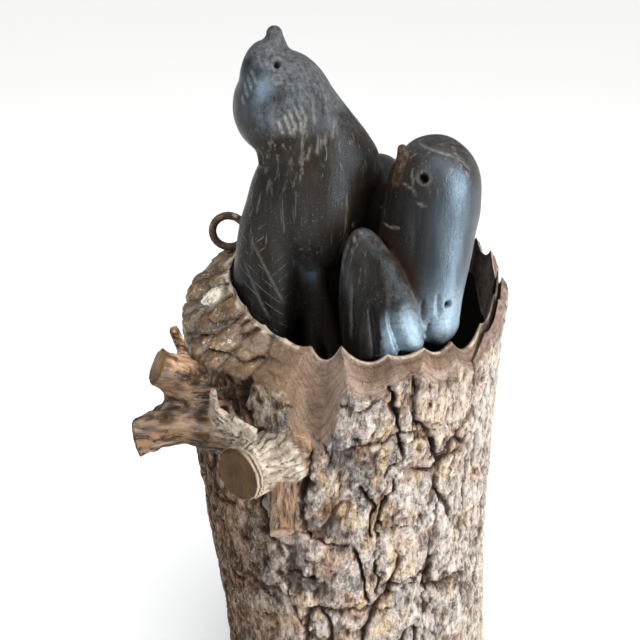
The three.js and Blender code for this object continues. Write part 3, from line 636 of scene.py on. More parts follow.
class Log:
    """The log's form, worked out from its settings, in millimetres."""

    def __init__(self, s):
        self.height = s.height * MM
        self.base, self.rim = s.base_diameter * MM, s.rim_diameter * MM
        self.waist, self.bow, self.lean = s.waist * MM, s.bow * MM, s.lean * MM
        self.lump = s.lump * MM
        self.radius = self.rim / 2 - s.wall * MM
        self.girth = math.pi * self.rim
        self.x = (s.hollow_shift - s.lean) * MM
        self.floor = self.height - s.hollow_depth * MM
        self.lip, self.gouge, self.chamfer = s.lip * MM, s.gouge_radius * MM, s.chamfer
        self.depth = s.bark_depth * MM
        self.cuts = []
        for degrees, lip, length in RIM_CUTS:
            place = math.radians(degrees)
            self.cuts.append((place, lip, float(self.wall(np.array(place))) / length))
        start, end = RIM_CUTS[-1][0], RIM_CUTS[0][0] + 360
        steps = round((end - start) / BACK_CUT_PITCH)
        for i in range(1, steps):
            place = math.radians(start + (end - start) * i / steps)
            lip = s.rim_rise * MM - 1.2 + 1.1 * math.sin(2.3 * i)
            self.cuts.append((place, lip, BACK_CUT_SLOPE * (1 + 0.25 * math.sin(1.7 * i))))

    def centre(self, height):
        """How far across the log's centre line is at each height."""
        t = height / self.height
        return -(6.75 * self.bow * t * t * (1 - t) + self.lean * t)

    def bark(self, angle, height):
        """From the hollow's centre line to the bark's even round."""
        t = np.clip(height / self.height, 0, 1)
        mean = self.base + (self.rim - self.base) * t - self.waist * np.sin(math.pi * t**0.6)
        lumps = np.sin(3 * angle + 4 * t) + 0.7 * np.sin(5 * angle - 5 * t + 1)
        radius = mean / 2 + self.lump * lumps * 0.6
        offset = self.x - self.centre(height)
        along = offset * np.cos(angle)
        hewn = self.chamfer * np.maximum(0, height - self.height) * np.maximum(0, -np.cos(angle))
        return -along + np.sqrt(along * along - offset * offset + radius * radius) - hewn

    def wall(self, angle):
        """Thickness of the log's wall outside the lip, at the height of the front of the rim."""
        return self.bark(angle, np.full(angle.shape, self.height)) - self.radius - self.lip

    def place(self, angle, reach, height):
        """Points at angles round the hollow, distances from its centre line and heights."""
        return np.stack([self.x + reach * np.cos(angle), reach * np.sin(angle), height + 0 * angle], -1)

    def round_log(self, angle, height):
        """Degrees round the log itself, from degrees round the hollow."""
        reach = self.bark(angle, height)
        x = self.x + reach * np.cos(angle) - self.centre(height)
        return np.degrees(np.arctan2(reach * np.sin(angle), x))

    def flat_side(self, angle, height):
        """1 on the hewn, bark-free wall at the left, and 0 elsewhere."""
        turn = angle - math.radians(LEFT_WALL)
        foot = WALL_FOOT + 13 * np.sin(turn) + 2.5 * round_noise(angle, height, 40, 9, 32)
        return ramp(np.cos(turn), 0.76, 0.90) * ramp(height, foot - 3, foot + 2)

    def cut_planes(self, angle, gouge):
        """For each gouge cut: the height of its lip on each ray, its slope and its lower end."""
        planes = []
        for place, lip, steep in self.cuts:
            turn = angle - place
            across = self.radius * np.arctan2(np.sin(turn), np.cos(turn))
            top = self.height + lip + across * across / (2 * gouge) / steep
            planes.append((top, steep, top - self.wall(angle) / steep))
        return planes

    def cut_reach(self, angle, height):
        """From the hollow's centre line to the gouge cuts, and how far below the lip each point is."""
        shape = np.broadcast(angle, height).shape
        reach, below = np.full(shape, FAR), np.zeros(shape)
        gouge = self.gouge * (1 - 0.5 * ramp(self.height - height, 3, 12))
        gouge = gouge + 30 * self.flat_side(angle, height)
        for top, steep, _ in self.cut_planes(angle, gouge):
            here = self.radius + self.lip + np.maximum(0, top - height) * steep
            below = np.where(here < reach, top - height, below)
            reach = np.minimum(reach, here)
        waver = 2.2 * round_noise(angle, height, 40, 7, 37)
        arcs = 0.24 * np.sin(below * 2.1 + waver) * ramp(below, 0.8, 2.5)
        depth = self.bark(angle, height) - reach
        seam = np.exp(-(((depth - 3.2) / 0.5) ** 2))
        seam = seam * ramp(round_noise(angle, height, 30, 9, 38), -0.3, 0.2)
        marks = arcs + round_noise(angle, height, 200, 1.8, 39) * 0.14 + 0.7 * seam
        return reach - marks * (depth > 0), below

    def outside(self, angle, height):
        """From the hollow's centre line to the log's visible face, and what that face is made of."""
        around = angle / (2 * math.pi)
        flat = self.flat_side(angle, height)
        out, crack = self.relief(angle, height)
        bark = self.bark(angle, height) + out * (1 - 0.85 * flat) * ramp(height, 0, 3) - BARK_INSET
        gouged, below = self.cut_reach(angle, height)
        sway = round_noise(angle, height, 50, 8, 36) * 0.35
        lumps, gap = facets(around * 38 + sway, height / 8.0 + sway, 35, 38)
        small, _ = facets(around * 84 - sway, height / 4.0 + sway, 34, 84)
        reach = np.minimum(bark, gouged) + flat * (2.8 * lumps + 0.3 * small + 0.2)
        return np.maximum(reach, self.radius + 0.8 * self.lip), bark, gouged, out, crack, gap, below

    def relief(self, angle, height):
        """How far the bark stands out or in, and how deep in a crack each point is, from 0 to 1."""
        around = angle / (2 * math.pi)

        def swell(columns, step, seed):
            return round_noise(angle, height, columns, step, seed)

        fine_warp = 0.9 * swell(110, 3.4, 2) + 0.5 * swell(260, 1.5, 21)
        turn = around + (2.6 * swell(24, 16, 3) + 1.3 * swell(60, 6, 4) + fine_warp) / self.girth
        up = height + 3.2 * swell(24, 16, 5) + 1.5 * swell(70, 5, 15) + fine_warp

        def crease(columns, step, seed):
            """Distance to the nearest of the winding lines along which a noise is 0."""

            def value(dx, dy):
                return noise2((turn + dx / self.girth) * columns, (up + dy) / step, seed, columns)

            here = value(0, 0)
            rise = np.hypot(value(0.4, 0) - here, value(0, 0.4) - here) / 0.4
            return np.abs(here) / np.maximum(rise, 0.03)

        def groove(distance, width):
            return np.clip(1 - distance / width, 0, 1) ** 0.7

        fibrous = ramp(np.cos(angle - math.radians(FIBROUS_SIDE)), 0.62, 0.9)
        strength = ramp(swell(17, 21, 6), -0.25, 0.55)
        long = crease(30, 36, 11)
        level = crease(15, 8, 12)
        cracks = groove(long, 0.7 + 0.7 * strength) * (0.2 + 0.8 * strength)
        crossing = groove(level, 0.75) * ramp(swell(20, 15, 16), 0.05, 0.4) * (0.8 - 0.5 * fibrous)
        cracks = np.maximum(cracks, crossing)
        fissures = groove(crease(105, 13, 17), 0.55) * ramp(swell(26, 9, 7), -0.35, 0.2)
        torn = groove(crease(70, 34, 27), 0.9) * fibrous
        crown = 0.35 * (1 - np.exp(-((np.minimum(long, level * 1.6) / 1.8) ** 2)))
        coarse = 0.75 * swell(40, 9, 14) + 0.55 * swell(85, 5.0, 13) + 0.4 * swell(150, 2.8, 28)
        flakes = coarse / 0.48
        flakes = 0.5 * (np.floor(flakes) + ramp(flakes % 1, 0.34, 0.62))
        pits = ramp(swell(120, 3.2, 30), 0.45, 0.75)
        grain = 0.34 * swell(200, 2.0, 9) + 0.26 * swell(390, 1.2, 10) - 0.7 * pits
        deep = np.zeros(angle.shape)
        log_turn = self.round_log(angle, height)
        ragged = swell(75, 4.5, 8) + 0.7 * swell(170, 2.0, 18)
        uneven = 0.75 + 0.55 * swell(60, 5, 19)
        for path, width, depth in FURROWS:
            middle = np.mean([a for a, _ in path])
            sheet = [(math.radians(a - middle) * self.rim / 2, h) for a, h in path]
            from_middle = (log_turn - middle + 180) % 360 - 180
            d, along = near_path(np.radians(from_middle) * self.rim / 2 + ragged, height - ragged, sheet)
            ends = np.minimum(1, np.minimum(along, 1 - along) * 6 + 0.2)
            wide = 0.85 * width * (0.4 + 0.6 * ends) * uneven
            deep = np.maximum(deep, depth * ends * groove(d, wide))
        out = crown + flakes + grain - 0.6
        out = np.minimum(out, BARK_PROUD * out)
        out = out - self.depth * cracks - 0.6 * fissures - 1.0 * torn - deep
        return out, np.clip(0.9 * cracks + 0.45 * fissures + 0.7 * torn + deep / 2, 0, 1)


# Branches: a stub thickens towards its root and ends in a flat cut. Places are degrees round the
# hollow, millimetres out from the bark and shares of the log's height. For each stub: its root and
# tip, the radii there, and the way its cut end faces.
STUBS = {
    "upper": ((-147, -12, 0.835), (-153, 13.6, 0.947), (16, 6.2), (-0.78, -0.25, 0.45)),
    "lower": ((-146, -14, 0.875), (-151, 24, 0.819), (13, 6.6), (-0.96, -0.1, -0.2)),
    "knob": ((-119, -12, 0.812), (-128, 8.6, 0.782), (12.5, 9.2), (-0.66, -0.75, 0.0)),
    "small": ((-118, -2, 0.790), (-115.6, 5.8, 0.672), (5.0, 4.2), (0.1, -0.8, -0.6)),
    "twig": ((-155, 1.5, 0.925), (-158, 5.2, 0.999), (2.3, 1.7), (-0.3, -0.1, 1.0)),
}
# The part of space that the stubs lie in.
STUB_BOX = ((-84, -70, 116), (2, -6, 196))
# A spot of bare, rubbed wood on the left wall: degrees round the hollow, millimetres out and up,
# and its radius.
WORN_SPOT = (-168, 57, 197)
WORN_RADIUS = 7.5
# How far from its tip the thick stub's collar of fibres reaches, and between which radii the pale
# lip round its cut end begins.
COLLAR_REACH = 25
LIP_RADII = (7.3, 8.3)
# Edges sharper than this stay sharp, in degrees.
SHARP = 55


class Stubs:
    """The sawn branches at the left of the log, and the torn wood round the thick one."""

    def __init__(self, log):
        self.log = log
        self.stubs = {}
        for name, (root, tip, radii, face) in STUBS.items():
            self.stubs[name] = (self.on_bark(*root), self.on_bark(*tip), radii, unit(face))
        fin = ((-140, 2.5, 0.918), (-133.5, 8.0, 0.905), (-122.5, 5.0, 0.873))
        foot = ((-138, 5.5, 0.862), (-124.5, 5.0, 0.853))
        self.fin = [self.on_bark(*place) for place in fin]
        self.fin_foot = [self.on_bark(*place) for place in foot]
        self.swell = self.on_bark(-117.5, -4.5, 0.812)
        self.fork = self.on_bark(-147, -1.0, 0.845)
        self.hole = self.on_bark(-137.5, 1.6, 0.877)

    def on_bark(self, degrees, out, part):
        """A point that stands out from the bark."""
        turn, height = np.array(math.radians(degrees)), np.array(part * self.log.height)
        return self.log.place(turn, self.log.bark(turn, height) + out, height)

    def stub(self, p, name):
        """The field of one stub."""
        root, tip, radii, face = self.stubs[name]
        along = tip - root
        t = (p - root) @ along / (along @ along)
        radius = radii[1] + (radii[0] - radii[1]) * (1 - np.clip(t, 0, 1)) ** 1.6
        reach = away(p - root, np.clip(t, 0, 1.5)[..., None] * along)
        return np.maximum(np.maximum(reach - radius, (p - tip) @ face), -((p - root) @ unit(along)))

    def splinter(self, p):
        """The flat splinter between the fork and the thick stub."""
        a, b, c = self.fin
        e, f = self.fin_foot
        sheets = [triangle(p, *corners, 1.7) for corners in ((a, b, e), (b, c, e), (c, f, e))]
        return np.min(sheets, axis=0)

    def field(self, p):
        """The field of all stubs, the splinter and the wood between them."""
        d = blend(self.stub(p, "upper"), self.stub(p, "lower"), 6)
        d = blend(d, egg(p, self.fork, (9, 11, 13)), 6)
        d = blend(d, self.stub(p, "knob"), 2.5)
        d = blend(d, egg(p, self.swell, (8.5, 9, 13), (0.2, 0, 1)), 3)
        d = blend(d, self.stub(p, "small"), 2)
        d = blend(d, self.stub(p, "twig"), 1)
        d = blend(d, self.splinter(p), 1.2)
        return -blend(-d, away(p, self.hole) - 1.8, 0.6)

    def ends(self, p):
        """How near each point is to a flat cut end, from 0 to 1."""
        best = np.zeros(len(p))
        for name in ("upper", "lower", "knob", "small"):
            _, tip, radii, face = self.stubs[name]
            close = away(p, tip) < radii[1] * 1.9
            flat = ramp(0.9 - np.abs((p - tip) @ face), 0.0, 0.6)
            best = np.maximum(best, close * flat * (0.55 if name == "small" else 1.0))
        return best

    def fibres(self, p):
        """Ridges of torn fibre that sweep out from the thick stub, and along the others, from -1 to 1."""
        _, tip, _, face = self.stubs["knob"]
        q = p - tip
        side = unit(np.cross(face, (0, 0, 1)))
        turn = np.arctan2(q @ np.cross(side, face), q @ side)
        back = -(q @ face)
        wave = 2 * np.abs(np.sin(turn * 17 + 2.6 * noise3(p, 4.5, 21) + back * 0.2)) ** 0.6 - 1
        near = ramp(27 - np.linalg.norm(q, axis=-1), 0, 9) * ramp(back, 0.4, 2.5)
        along = noise3(p * (0.3, 1.0, 1.0), 1.6, 22)
        return near * wave + (1 - near) * along

    def roughness(self, p):
        """How far fibres and knots stand out of the stubs, less on the splinter and the thin stubs."""
        waves = self.fibres(p) * 0.45
        for scale, seed, height in ((1.7, 26, 0.22), (3.2, 23, 0.35), (8.0, 24, 0.5)):
            waves = waves + noise3(p, scale, seed) * height
        smooth = np.min([self.splinter(p) - 0.5, self.stub(p, "small"), self.stub(p, "twig")], axis=0)
        return (1 - 0.75 * ramp(2.0 - smooth, 0, 1.5)) * waves


def log_angles(columns):
    """Angles round the log, closer together at the front, which shows."""
    even = np.linspace(-math.pi, math.pi, 4001)
    density = 1 + 1.1 * ramp(-np.sin(even), -0.35, 0.25)
    total = np.concatenate([[0], np.cumsum((density[1:] + density[:-1]) / 2)])
    total /= total[-1]
    return np.interp(np.arange(columns) / columns, total, even)


def log_shape(log, columns):
    """Points and faces of the hollow log."""
    turn = log_angles(columns)
    planes = log.cut_planes(turn, log.gouge)
    top = np.min([plane[0] for plane in planes], axis=0)
    low = np.minimum(np.min([plane[2] for plane in planes], axis=0), top - 3)
    low = np.minimum(low, log.height - 8)
    top = top - 0.3 * (1 + round_noise(turn, 0 * turn, 90, 1, 31))
    rings = []

    def ring(height):
        return log.place(turn, log.outside(turn, height)[0], height)

    for start, end, rows in ((0, FOOT_SHARE, FOOT_ROWS), (FOOT_SHARE, 1, BARK_ROWS)):
        rings += [ring(low * part) for part in np.linspace(start, end, rows, endpoint=False)]
    for part in np.linspace(0, 1, CUT_ROWS):
        rings.append(ring(low + (top - low) * part))
    for part in np.linspace(0, 1, WALL_ROWS) ** 1.4:
        height = top + (log.floor - top) * part
        tooled = 0.35 * round_noise(turn, height, 32, 14, 33) * ramp(part, 0.0, 0.1)
        rings.append(log.place(turn, log.radius + tooled * (1 - ramp(part, 0.9, 1)), height))
    underside = []
    for part in (0.25, 0.5, 0.75):
        rings.append(log.place(turn, log.radius * (1 - part), np.full(columns, log.floor)))
        foot = log.place(turn, log.bark(turn, 0 * turn) * part, 0 * turn)
        foot[:, 0] -= log.x * (1 - part)
        underside.append(foot)
    return skin(np.array([0, 0, 0]), np.stack(underside + rings), np.array([log.x, 0, log.floor]))


def crack_shape(log, width, depth, thickness):
    """Points and faces of a tool that cuts the split between the wood and the bark at the right."""
    rings = []
    for i in range(1, SPLIT_STEPS):
        t = i / SPLIT_STEPS
        turn = np.array(math.radians(SPLIT_START + (SPLIT_END - SPLIT_START) * t))
        opened = math.sin(math.pi * t) ** 0.5
        top = min(float(plane[0]) for plane in log.cut_planes(turn, log.gouge))
        wander = float(noise2(np.array(t * 14.0), np.array(2.0), 41)) * 0.35
        outer = log.bark(turn, log.height) - thickness + wander
        inner = outer - width * opened * (1 + 0.3 * math.sin(9 * t))
        low = top - 5 - depth * opened + 2.5 * math.sin(23 * t)
        high = log.height + SPLIT_ABOVE
        corners = [(inner, low), (inner, high), (outer, high), (outer, low)]
        rings.append([log.place(turn, reach, np.array(height)) for reach, height in corners])
    ends = []
    for degrees in (SPLIT_START, SPLIT_END):
        turn = np.array(math.radians(degrees))
        ends.append(log.place(turn, log.bark(turn, log.height) - thickness, np.array(log.height)))
    return skin(ends[0], np.array(rings), ends[1])


# Birds. They are set out on a block 47.6 units in radius and 176 tall, with the origin at the
# middle of the hollow's floor, and the block is then brought to its real size.
BLOCK_RADIUS = 47.6
BLOCK_HEIGHT = 176.0
RIM_LEVEL = 95.0
# The part of space that the birds lie in, and how far the fine grid goes back and down.
BIRD_BOX = ((-52.0, -50.0, -3.0), (44.0, 32.0, 181.0))
FINE_BACK, FINE_DOWN = 3, 58
# How far the birds stay inside their forms on average, which gives the marks of the tool room.
BIRD_INSET = 0.2


def adult_bird(p):
    """Head with its raised beak, neck, body, near wing, legs and post."""
    d = egg(p, (-29, -6, 150), (15.6, 16.5, 16.4), (-0.12, 0, 1))
    d = blend(d, egg(p, (-26.5, -6, 156), (12, 13.5, 12)), 5)
    d = blend(d, egg(p, (-34.2, -9, 160.5), (7.6, 9, 11.8), (0.16, 0, 1)), 1.2)
    d = blend(d, limb(p, (-23.5, -4, 149.5), (-7, -3, 130.6), 14, 12.2), 3)
    d = blend(d, egg(p, (-18.3, -1, 119), (20, 21, 29), (0, 0.05, 1)), 6)
    d = blend(d, limb(p, (-30.0, -6, 165.5), (-30.2, -6, 173.3), 5.9, 2.8), 1.6)
    d = blend(d, egg(p, (7, 9, 109), (13, 13, 22), (-0.1, 0, 1)), 3)
    d = blend(d, egg(p, (-16, 8, 96), (19, 17, 34)), 3)
    near_wing = wing(p, (-32, -6, 131), (-38.5, -15, 56), (-0.5, -0.86, 0.05), 13.6, 8, 0.55, 0.012, 0.6)
    d = blend(d, near_wing, 1.2 + 5 * np.clip((p[..., 2] - 98) / 30, 0, 1))
    d = blend(d, limb(p, (-18.5, -11, 97), (-18, -12, -4), 4, 3.4), 4)
    d = blend(d, limb(p, (-17, -12, 92), (-9, -14, 60), 3.2, 3), 3)
    d = blend(d, limb(p, (-9, -14, 60), (-8, -12, -4), 3, 3.4), 3)
    return blend(d, limb(p, (-16, 10, 86), (-16, 10, -6), 14, 12), 3)


def chick(p):
    """Head, body, post, beak and near wing."""
    d = egg(p, (22.2, -16, 125), (15.8, 17, 18.3), (0.02, 0, 1))
    d = blend(d, egg(p, (19.6, -16, 106), (15.8, 16, 24), (0.08, 0.05, 1)), 6)
    d = blend(d, limb(p, (22, -17, 116), (22.4, -28.5, 83.5), 15, 9.4), 4)
    d = blend(d, limb(p, (17, -9, 96), (16, -8, -6), 13, 11), 3)
    d = blend(d, limb(p, (11.7, -21.8, 129.0), (10.7, -20.4, 139.7), 3.2, 1.6), 1)
    near_wing = wing(p, (-2.6, -25, 115), (5.6, -36, 73.5), (-0.45, -0.87, 0.12), 15, 8, 0.86, 0.008, 0.5)
    return blend(d, near_wing, 1)


def birds_field(p):
    """Both birds, within the block's round below the rim, and cut flat at the block's foot."""
    pair = blend(adult_bird(p), chick(p), 2)
    wall = np.hypot(p[..., 0], p[..., 1]) - BLOCK_RADIUS
    pair = np.maximum(pair, np.where(p[..., 2] < RIM_LEVEL, wall, -BLOCK_RADIUS))
    return np.maximum(pair, -p[..., 2])


# Knife cuts seen from the front: places across and up the block, width, depth and how pale they are.
KNIFE_CUTS = [
    # Adult's cheek
    ([(-20.7, 158.4), (-17.7, 154), (-17.1, 146.5)], 0.9, 0.5, 0.35),
    ([(-22, 154.5), (-19.9, 149.4), (-20.5, 143.6)], 1.0, 0.6, 0.6),
    ([(-23.8, 154), (-21.4, 148.4), (-21.5, 143.7)], 1.0, 0.6, 0.7),
    ([(-25.2, 152.4), (-23.3, 147.3), (-23.6, 143.7)], 1.0, 0.6, 0.8),
    ([(-26.8, 151.2), (-25.1, 146.8), (-24.5, 143.8)], 1.0, 0.6, 0.9),
    ([(-28.7, 149.4), (-27, 144.5)], 1.0, 0.5, 1.0),
    # Adult's throat
    ([(-35.2, 167.8), (-33.3, 164.2)], 0.8, 0.35, 0.35),
    ([(-37.3, 164.3), (-35.5, 160.2)], 0.8, 0.4, 0.5),
    ([(-38.6, 162), (-36.7, 158)], 0.8, 0.4, 0.5),
    ([(-39.9, 159.6), (-38.1, 155.5)], 0.8, 0.4, 0.45),
    ([(-40.7, 156), (-39.7, 152.8)], 0.8, 0.35, 0.4),
    # Round the adult's neck
    ([(-20.9, 138.4), (-22.2, 134)], 0.9, 0.4, 0.4),
    ([(-18.4, 140.3), (-19.7, 135.3)], 0.9, 0.4, 0.5),
    ([(-15.9, 142), (-16.5, 137.2)], 0.9, 0.4, 0.45),
    ([(-13.3, 144.3), (-14, 140.2)], 0.9, 0.4, 0.4),
    ([(-10.8, 147.6), (-11.5, 141.8)], 0.9, 0.4, 0.35),
    ([(-24.7, 136.4), (-25.4, 133.2)], 0.9, 0.4, 0.35),
    # Quills of the adult's wing
    ([(-40.3, 108.4), (-35.5, 100.3), (-31.1, 91.7), (-27.8, 84.9)], 0.9, 0.5, 0.35),
    ([(-42.3, 98.7), (-38.1, 90.2), (-33.1, 79.7)], 0.9, 0.5, 0.35),
    # Chick's wing
    ([(0.2, 94), (0.8, 88.3), (1.9, 79.3), (2.8, 70)], 2.2, 2.3, 0.05),
    ([(6.2, 92), (7.6, 85.8), (10, 79.4), (12.5, 71)], 2.4, 2.5, 0.05),
    ([(-5.1, 98.8), (-5.4, 90.1), (-5.3, 80.1)], 0.9, 0.4, 0.3),
    ([(-4.6, 113.5), (-4.2, 111.5)], 0.8, 0.4, 0.8),
    ([(-5.8, 111.8), (-8.3, 103.8), (-7.7, 100.2)], 0.8, 0.35, 0.25),
    # Chick's tail
    ([(18, 93.5), (17.7, 89.5), (17.3, 86)], 1.1, 1.5, 0.0),
    ([(22.9, 95.5), (22.7, 92), (22.8, 88.4)], 1.0, 1.4, 0.0),
    ([(20.3, 86), (19.6, 83), (18.8, 80.5)], 1.1, 1.5, 0.0),
    # Scratches on the chick's head
    ([(15.7, 141.5), (21.4, 140.1), (26.6, 138.7)], 0.55, 0.2, 0.6),
    ([(26.6, 138.7), (29.5, 136.8), (32.7, 133.7)], 0.6, 0.2, 0.25),
    ([(10, 130.7), (13.9, 129), (15.1, 127.1)], 0.6, 0.15, 0.6),
    ([(14.4, 125.3), (18.1, 124.1)], 0.7, 0.15, 0.5),
    ([(4.9, 114.5), (7.1, 115), (10.3, 115.6)], 0.6, 0.15, 0.9),
]

# Cuts deeper than this are wedges, steep at the left and gentle at the right.
WEDGE = 0.9
# The fold of the adult's wing. The hatching on its two sides runs in two directions, in degrees,
# and its lines are this far apart, in metres.
WING_FOLD = [(-42, 112), (-35.5, 100.3), (-31.1, 91.7), (-24, 76)]
HATCHING = {"hatch_left": 52, "hatch_right": 128}
HATCH_SPACING = 0.0030
# Round pits seen from the front: place, radius and depth.
PITS = [
    ((-29.1, 165.3), 0.95, 1.0),
    ((17.0, 132.8), 1.3, 1.6),
    ((26.4, 91.7), 1.0, 1.8),
]
# Places that handling has polished, seen from the front: place and radius.
POLISHED = [(-37, 157, 11), (-14, 99, 12), (12, 82, 13)]
# Raised rings round the eyes and one below the adult's: place and radius.
EYES = [((-29.1, 165.3), 1.7), ((-29, 161.3), 1.3), ((17.0, 132.8), 2.0)]


def across_path(z, path):
    """How far across a path lies at each height."""
    return np.interp(z, *zip(*sorted((up, across) for across, up in path)))


def cut_birds(points, normals, depth_share):
    """Sinks the knife cuts and pits into the points that face the front, and says where they are."""
    x, z = points[:, 0], points[:, 2]
    front = ramp(-normals[:, 1], 0.05, 0.3) * (points[:, 1] < 2)
    sink = np.zeros(len(points))
    inside = np.zeros(len(points))
    for path, width, depth, pale in KNIFE_CUTS:
        low = np.min(path, axis=0) - 3
        high = np.max(path, axis=0) + 3
        near = (x > low[0]) & (x < high[0]) & (z > low[1]) & (z < high[1])
        d, along = near_path(x[near], z[near], path)
        if depth > WEDGE:
            d = d * np.where(x[near] > across_path(z[near], path), 0.55, 1.6)
        ends = np.clip(np.minimum(along, 1 - along) * 5 + 0.15, 0, 1)
        here = ends * np.clip(1 - d / (width * (0.6 + 0.4 * along)), 0, 1)
        sink[near] = np.maximum(sink[near], depth * here)
        inside[near] = np.maximum(inside[near], pale * here)
    pit = np.zeros(len(points))
    for (px, pz), radius, depth in PITS:
        d = np.hypot(x - px, z - pz) / radius
        here = np.clip(1.3 - d * d, 0, 1) ** 0.5
        sink = np.maximum(sink, depth * here)
        pit = np.maximum(pit, here)
    for (px, pz), radius in EYES:
        ring = np.clip(1 - np.abs(np.hypot(x - px, z - pz) - radius) / 0.6, 0, 1)
        sink = sink - 0.16 * ring
        inside = np.maximum(inside, 0.25 * ring)
    return points - normals * (sink * front * depth_share)[:, None], inside * front, pit * front


def spaced(low, high, fine, coarse, is_fine):
    """Grid lines from low to high: fine ones where is_fine says so."""
    lines = [low]
    while lines[-1] < high:
        lines.append(lines[-1] + (fine if is_fine(lines[-1]) else coarse))
    return np.array(lines)


# Materials


class Finish:
    """One material and short calls that add nodes to it."""

    def __init__(self, name):
        self.material = bpy.data.materials.new(name)
        self.material.use_nodes = True
        self.nodes = self.material.node_tree.nodes
        self.links = self.material.node_tree.links
        self.nodes.clear()
        self.place = self.add("ShaderNodeTexCoord").outputs["Object"]

    def add(self, kind, inputs=None, **settings):
        """A node with its settings, and its inputs set or linked."""
        node = self.nodes.new(kind)
        for key, value in settings.items():
            setattr(node, key, value)
        for key, value in (inputs or {}).items():
            if isinstance(value, bpy.types.NodeSocket):
                self.links.new(value, node.inputs[key])
            else:
                node.inputs[key].default_value = value
        return node

    def mask(self, name):
        """A number that was painted on the mesh."""
        return self.add("ShaderNodeAttribute", attribute_name=name).outputs["Fac"]

    def stretch(self, scale, turn=(0, 0, 0)):
        """Object coordinates, stretched and turned."""
        inputs = {"Vector": self.place, "Scale": scale, "Rotation": turn}
        return self.add("ShaderNodeMapping", inputs).outputs["Vector"]

    def noise(self, scale, detail=3.0, rough=0.55, twist=0.0, place=None):
        """Noise from about 0.3 to 0.7, over object coordinates or over stretched ones."""
        inputs = {
            "Vector": place or self.place,
            "Scale": scale,
            "Detail": detail,
            "Roughness": rough,
            "Distortion": twist,
        }
        return self.add("ShaderNodeTexNoise", inputs).outputs["Fac"]

    def between(self, value, low, high, start=0.0, end=1.0):
        """Brings a value from between low and high to between start and end, smoothly."""
        inputs = {"Value": value, "From Min": low, "From Max": high, "To Min": start, "To Max": end}
        return self.add("ShaderNodeMapRange", inputs, interpolation_type="SMOOTHSTEP").outputs["Result"]

    def work(self, operation, a, b):
        """One number worked out from two."""
        return self.add("ShaderNodeMath", {0: a, 1: b}, operation=operation).outputs["Value"]

    def times(self, a, b):
        return self.work("MULTIPLY", a, b)

    def most(self, a, b):
        return self.work("MAXIMUM", a, b)

    def fold(self, value, width):
        """Runs up and down between 0 and width."""
        return self.work("PINGPONG", value, width)

    def mix(self, part, a, b, way="MIX"):
        """Colour a with colour b laid over it."""
        a, b = (c if isinstance(c, bpy.types.NodeSocket) else (*c, 1.0) for c in (a, b))
        node = self.add("ShaderNodeMix", {0: part, 6: a, 7: b}, data_type="RGBA", blend_type=way)
        return node.outputs[2]

    def darker(self, colour, tint):
        return self.mix(1.0, colour, tint, "MULTIPLY")

    def blend(self, part, a, b):
        """Number a with number b laid over it."""
        return self.add("ShaderNodeMix", {"Factor": part, "A": a, "B": b}).outputs["Result"]

    def bump(self, height, distance, strength=1.0, under=None):
        """Relief in the shading, over the relief under it."""
        inputs = {"Height": height, "Distance": distance, "Strength": strength}
        if under is not None:
            inputs["Normal"] = under
        return self.add("ShaderNodeBump", inputs).outputs["Normal"]

    def surface(self, colour, roughness, normal, **values):
        """Ends the material, and gives it back."""
        inputs = {"Base Color": colour, "Roughness": roughness, "Normal": normal, **values}
        shader = self.add("ShaderNodeBsdfPrincipled", inputs)
        output = self.add("ShaderNodeOutputMaterial")
        self.links.new(shader.outputs["BSDF"], output.inputs["Surface"])
        return self.material


